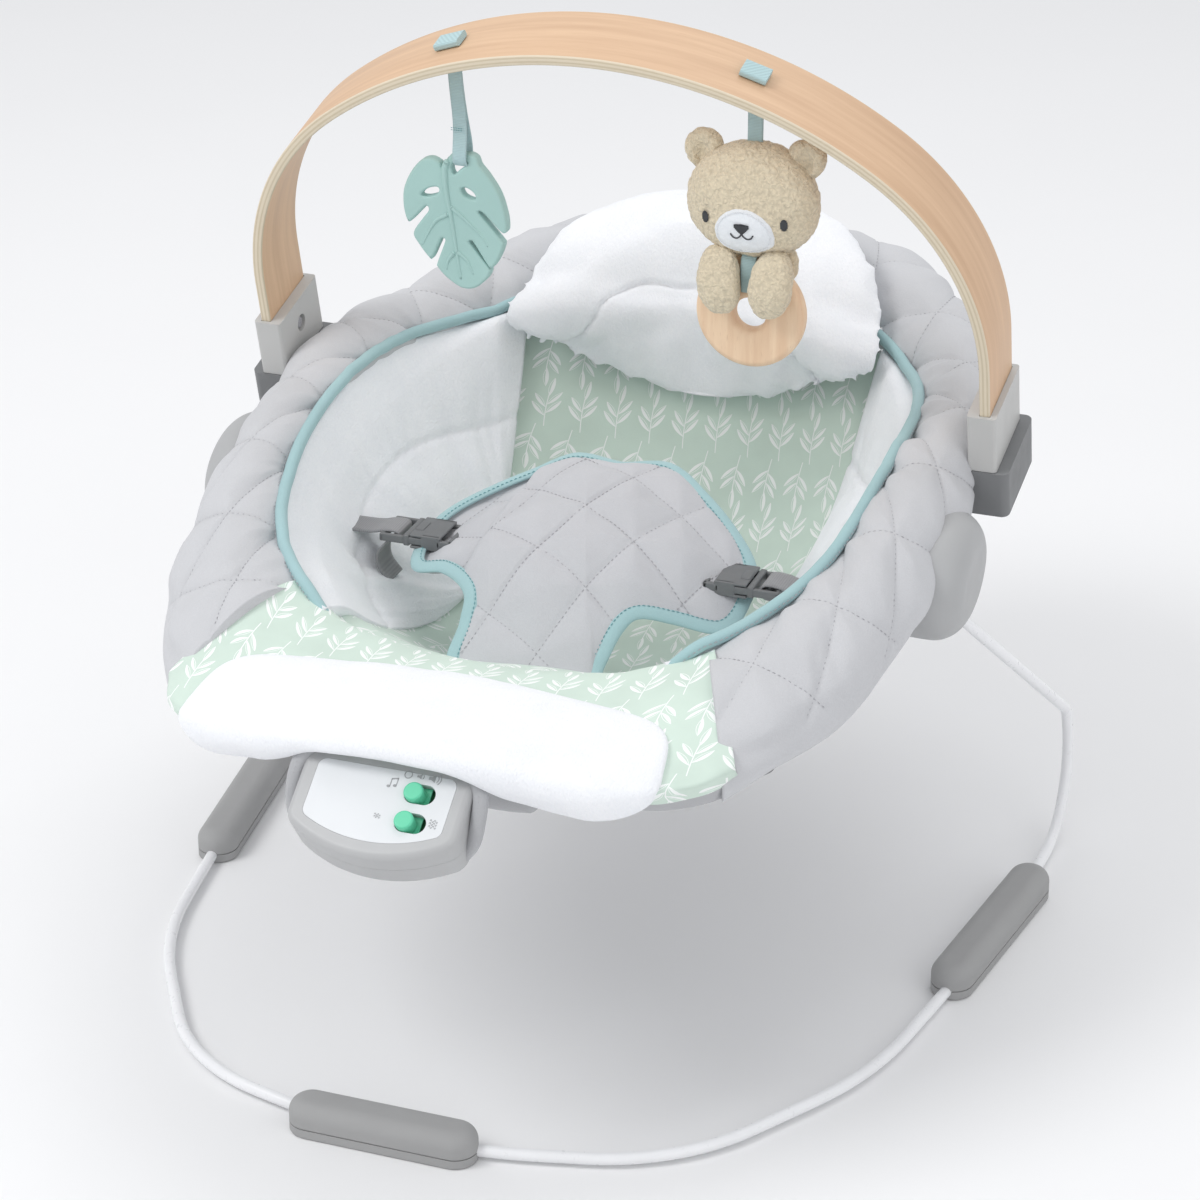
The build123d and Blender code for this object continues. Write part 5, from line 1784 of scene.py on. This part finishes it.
def leaf_blade(name, middle):
    """The flat blade of the leaf with its holes and rounded edges."""
    curve = bpy.data.curves.new("leaf", "CURVE")
    curve.dimensions = "2D"
    curve.fill_mode = "BOTH"
    curve.extrude = 2.2 * MM
    curve.bevel_depth = 1.5 * MM
    curve.bevel_resolution = 4
    curve.offset = -1.5 * MM
    for points in (LEAF_OUTLINE, *LEAF_HOLES):
        smooth_line = through(np.array(points), 8 * len(points), closed=True)
        spline = curve.splines.new("POLY")
        spline.points.add(len(smooth_line) - 1)
        for point, (a, b) in zip(spline.points, smooth_line):
            point.co = (a * MM, b * MM, 0, 1)
        spline.use_cyclic_u = True
    shape = link("leaf_shape", curve)
    bpy.context.view_layer.update()
    mesh = bpy.data.meshes.new_from_object(shape.evaluated_get(bpy.context.evaluated_depsgraph_get()))
    bpy.data.objects.remove(shape)
    mesh.transform(Matrix.Translation(Vector(middle) * MM) @ Matrix.Rotation(math.radians(90), 4, "X"))
    mesh.name = name
    return link(name, mesh)


def make_leaf():
    """The silicone leaf teether, its raised veins, and the ribbon it hangs from."""
    x, y, _ = middle_of("leaf_teether")
    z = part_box("leaf_teether")[0][2] / MM + LEAF_MIDDLE
    parts = [leaf_blade("leaf_teether_blade", (x, y, z))]
    for face_side in (-1, 1):
        for k, vein in enumerate(LEAF_VEINS):
            line = through(np.array([(a, 0, b) for a, b in vein], float), 60)
            taper = np.linspace(1.0, 0.45, 60)
            thick = (2.1 if k == 0 else 1.5) * taper
            line = line + np.array([x, y + face_side * 3.3, z])
            parts.append(tube("vein", line, thick, 12))
    leaf = join("leaf_teether_blade", parts)
    leaf.data.shade_smooth()
    dress(leaf, "leaf_silicone")
    place(leaf, "leaf_toy", "leaf_silicone", "leaf_teether")

    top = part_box("leaf_strap")[1][2] / MM
    ring = z + LEAF_RING
    loop = [(0.6, top - ring), *RIBBON_LOOP, (1.8, top - ring)]
    line = through([(x + RIBBON_ASIDE, y + dy, ring + dz) for dy, dz in loop], 120)
    line[:, 0] -= RIBBON_ASIDE * smooth(line[:, 2], ring + 4, top)
    ribbon = strap("leaf_ribbon", line, (1, 0, 0), 8.6, 0.8)
    sewn = []
    for height in (ring + 17, ring + 18.3):
        row = [(x + dx, y - 3.9, height) for dx in np.linspace(-1.4, 6.6, 12)]
        sewn.append(stitches("s", row, (0.0, -1, 0), 1.5, 0.7, 0.26, 0.2))
    place(dress(ribbon, "teal_ribbon"), "leaf_toy", "teal_ribbon", "leaf_strap")
    place(dress(join("leaf_ribbon_stitching", sewn), "", THREAD_TEAL), "leaf_toy", "teal_ribbon")


# ---------------------------------------------------------------- toy bar and wires
# The bent bar's outer line: half width, heights of its feet and top, and the radii of its bends.
ARCH_HALF_WIDTH = 232
ARCH_FOOT = 27
ARCH_TOP = 271
ARCH_TOP_R = 280
ARCH_CORNER_R = 160


def arch_line(inset):
    """The bar's bent line in its plane, from the right foot over the top to the left foot."""
    corner_x = ARCH_HALF_WIDTH - ARCH_CORNER_R
    top_y = ARCH_TOP - ARCH_TOP_R
    corner_y = top_y + math.sqrt((ARCH_TOP_R - ARCH_CORNER_R) ** 2 - corner_x**2)
    meet = math.atan2(corner_y - top_y, corner_x)

    def arc(x, y, radius, angle):
        return np.stack([x + (radius - inset) * np.cos(angle), y + (radius - inset) * np.sin(angle)], -1)

    straight = np.linspace(ARCH_FOOT, corner_y, 30)[:-1]
    half = np.vstack([
        np.stack([np.full_like(straight, ARCH_HALF_WIDTH - inset), straight], -1),
        arc(corner_x, corner_y, ARCH_CORNER_R, np.linspace(0, meet, 50)[:-1]),
        arc(0, top_y, ARCH_TOP_R, np.linspace(meet, math.pi / 2, 60)),
    ])
    return np.vstack([half, half[:-1][::-1] * np.array([-1, 1])])


def make_arch():
    """The bent wooden bar. Its two sawn edges show the plies, its faces the beech grain."""
    width, thick, round_r = 53.0, 6.3, 1.1
    outer, inner = arch_line(0), arch_line(thick)
    section = []
    for cx, cw, start in ((1, 0, 0), (1, 1, 90), (0, 1, 180), (0, 0, 270)):
        for a in (0, 30, 60, 90):
            angle = math.radians(start + a - 90)
            depth = (round_r if cx == 0 else thick - round_r) + round_r * math.cos(angle)
            across_w = (round_r if cw == 0 else width - round_r) + round_r * math.sin(angle)
            section.append((depth / thick, across_w))
    section = np.array(section)
    rows = []
    for share, w in section:
        point = outer * share + inner * (1 - share)
        rows.append(np.concatenate([point, np.full((len(point), 1), w)], -1))
    p = np.stack(rows, 1)
    along = running_length(outer) * MM
    nu, nv = p.shape[:2]
    piece = grid_mesh("bent_beech_bar", bar(p), closed_v=True, uv=np.zeros((nu, nv, 2)), caps=True)
    piece.data.materials.append(ARCH_FACE)
    piece.data.materials.append(PLY_EDGE)
    layer = piece.data.uv_layers.active.data
    for f in piece.data.polygons:
        i = [v // nv for v in f.vertices]
        j = [v % nv for v in f.vertices]
        shares = section[j, 0]
        widths = section[j, 1]
        edge = len(f.vertices) > 4 or widths.max() < round_r * 1.01 or widths.min() > width - round_r * 1.01
        f.material_index = 1 if edge else 0
        for loop, a, share, w in zip(f.loop_indices, i, shares, widths):
            layer[loop].uv = (along[a], share) if edge else (along[a], w * MM)
    fix_normals(piece)
    place(piece, "toy_bar", "beech_wood", "wood_arch")


def filleted(points, radii, steps=14):
    """A line of straight runs with round corners."""
    p = [np.asarray(q, float) for q in points]
    out = [p[0]]
    for before, corner, after, radius in zip(p, p[1:], p[2:], radii):
        a, b = before - corner, after - corner
        a, b = a / np.linalg.norm(a), b / np.linalg.norm(b)
        half = math.acos(np.clip(a @ b, -1, 1)) / 2
        reach = radius / math.tan(half)
        middle = corner + (a + b) / np.linalg.norm(a + b) * radius / math.sin(half)
        start, end = corner + a * reach, corner + b * reach
        u, v = start - middle, end - middle
        total = math.acos(np.clip(u @ v / (radius * radius), -1, 1))
        for k in range(steps + 1):
            t = k / steps
            out.append(middle + (u * math.sin((1 - t) * total) + v * math.sin(t * total)) / math.sin(total))
    out.append(p[-1])
    line = [out[0]]
    for a, b in zip(out, out[1:]):
        count = max(1, int(np.linalg.norm(b - a) / 6))
        line += [a + (b - a) * k / count for k in range(1, count + 1)]
    return np.array(line)


# Corners of the right side's wire, and the radii of its two bends.
WIRE_CORNERS = ((256, 67, 5.5), (263, 214, 5.5), (257, 200, 84), (220, 12, 236))
WIRE_BENDS = (58, 13)


def make_legs():
    """Each side's wire in one piece, from the side foot over the heel up to the hub."""
    for name, side in SIDES.items():
        line = filleted([(side * a, b, c) for a, b, c in WIRE_CORNERS], WIRE_BENDS)
        wire = dress(tube(f"spring_wire_{name}", line, 3.5, 16), "white_wire")
        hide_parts(f"heel_wire_{name}", f"leg_wire_{name}")
        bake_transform(wire)


# ---------------------------------------------------------------- control unit
def flat_shape(name, outline, lift, thickness=0.25):
    """A thin printed mark on the control unit's face, from an outline in face millimetres."""
    outline = np.asarray(outline, float)
    count = len(outline)
    top = face(np.column_stack([outline, np.full(count, lift)]))
    low = face(np.column_stack([outline, np.full(count, lift - thickness)]))
    faces = [tuple(range(count)), tuple(reversed(range(count, 2 * count)))]
    for k in range(count):
        m = (k + 1) % count
        faces.append((m, k, k + count, m + count))
    piece = add_mesh(name, np.vstack([top, low]), faces, smooth_faces=False)
    fix_normals(piece)
    return piece


def ring_shape(name, centre, radius, width, lift, start=0, stop=360):
    """A printed ring or part of one, between two angles in degrees."""
    a = np.radians(np.linspace(start, stop, 40))
    outer = np.stack([centre[0] + radius * np.cos(a), centre[1] + radius * np.sin(a)], -1)
    inner = np.stack([centre[0] + (radius - width) * np.cos(a), centre[1] + (radius - width) * np.sin(a)], -1)
    return flat_shape(name, np.vstack([outer, inner[::-1]]), lift)


def disc_shape(name, centre, rx, ry, lift):
    """A printed oval dot."""
    a = np.linspace(0, 2 * math.pi, 24, endpoint=False)
    return flat_shape(name, np.stack([centre[0] + rx * np.cos(a), centre[1] + ry * np.sin(a)], -1), lift)


FACE_MARK_LIFT = 0.2
SOUND_MARKS_T = 15.0  # height of the sound switch's marks on the face
WAVE_MARKS_T = -10.5  # height of the vibration switch's marks
# A loudspeaker seen from the side, about its own middle.
SPEAKER_CONE = ((-2.6, -0.8), (-1.2, -0.8), (0.8, -2.0), (0.8, 2.0), (-1.2, 0.8), (-2.6, 0.8))


def make_marks():
    """Generic pictograms beside the switches: off, quiet, loud, a note, weak and strong waves."""
    h, level = FACE_MARK_LIFT, SOUND_MARKS_T
    marks = [ring_shape("m", (11.5, level), 2.3, 0.45, h)]
    for x, size, waves in ((18.5, 0.75, 1), (26.0, 1.1, 2)):
        marks.append(flat_shape("m", [(x + a * size, level + b * size) for a, b in SPEAKER_CONE], h))
        for k in range(waves):
            marks.append(ring_shape("m", (x + 0.2, level), (2.4 + 1.3 * k) * size, 0.4, h, -48, 48))
    for x, t in ((2.6, 6.6), (6.0, 7.4)):
        marks.append(disc_shape("m", (x, t), 1.0, 0.75, h))
        marks.append(flat_shape("m", [(x + 0.6, t), (x + 1.0, t), (x + 1.0, t + 4.4), (x + 0.6, t + 4.4)], h))
    marks.append(flat_shape("m", [(3.2, 10.6), (7.0, 11.4), (7.0, 12.2), (3.2, 11.4)], h))
    xs = np.linspace(-2.2, 2.2, 24)
    for x, size, lines in ((2.0, 0.8, 2), (33.4, 1.0, 3)):
        for k in range(lines):
            wave = 0.7 * np.sin(xs * 2.8) + (k - 1) * 1.7
            upper = np.stack([x + xs * size, WAVE_MARKS_T + (wave + 0.25) * size], -1)
            lower = np.stack([x + xs * size, WAVE_MARKS_T + (wave - 0.25) * size], -1)
            marks.append(flat_shape("m", np.vstack([upper, lower[::-1]]), h))
    marks = dress(join("control_marks", marks), "", DARK_INK)
    place(marks, "seat", "plate_white")


# Half of the line of the cloth edge that holds the control unit, in its face's frame.
UNIT_PIPING = (
    (45, -14, -26), (51, -9, -18), (53, 2, -9), (51.5, 14, -3), (44, 23, 2), (27, 28.5, 5), (0, 30, 6),
)
FACE_NORMAL = (0.0, -0.588, 0.809)


def make_unit_piping():
    """The thick cloth edge around the top of the control unit, with its stitches."""
    half = np.array(UNIT_PIPING, float)
    whole = np.vstack([half, half[:-1][::-1] * np.array([-1, 1, 1])])
    edge = tube("unit_piping", face(through(whole, 200)), 4.4, 14, flat=0.75, up=FACE_NORMAL)
    place(dress(edge, "sling_fabric"), "seat", "sling_fabric")
    row = face(through(whole * np.array([0.995, 0.985, 1]) + np.array([0, 0, 3.3]), 200))
    sewn = dress(stitches("unit_piping_stitching", row, FACE_NORMAL, 3.0, 0.6, 0.3, 0.1), "", THREAD_GREY)
    place(sewn, "seat", "sling_fabric")


set_stage()
dress_frame()
make_rim()
make_piping()
make_side_panels()
make_middle_panel()
make_sling()
make_lip()
make_patch()
make_pillow()
make_pad()
for side_name, side_sign in SIDES.items():
    make_buckle(side_name, side_sign)
make_bear_head()
make_bear_face()
make_bear_arms()
make_bear_ribbons()
make_leaf()
make_arch()
make_legs()
make_marks()
make_unit_piping()
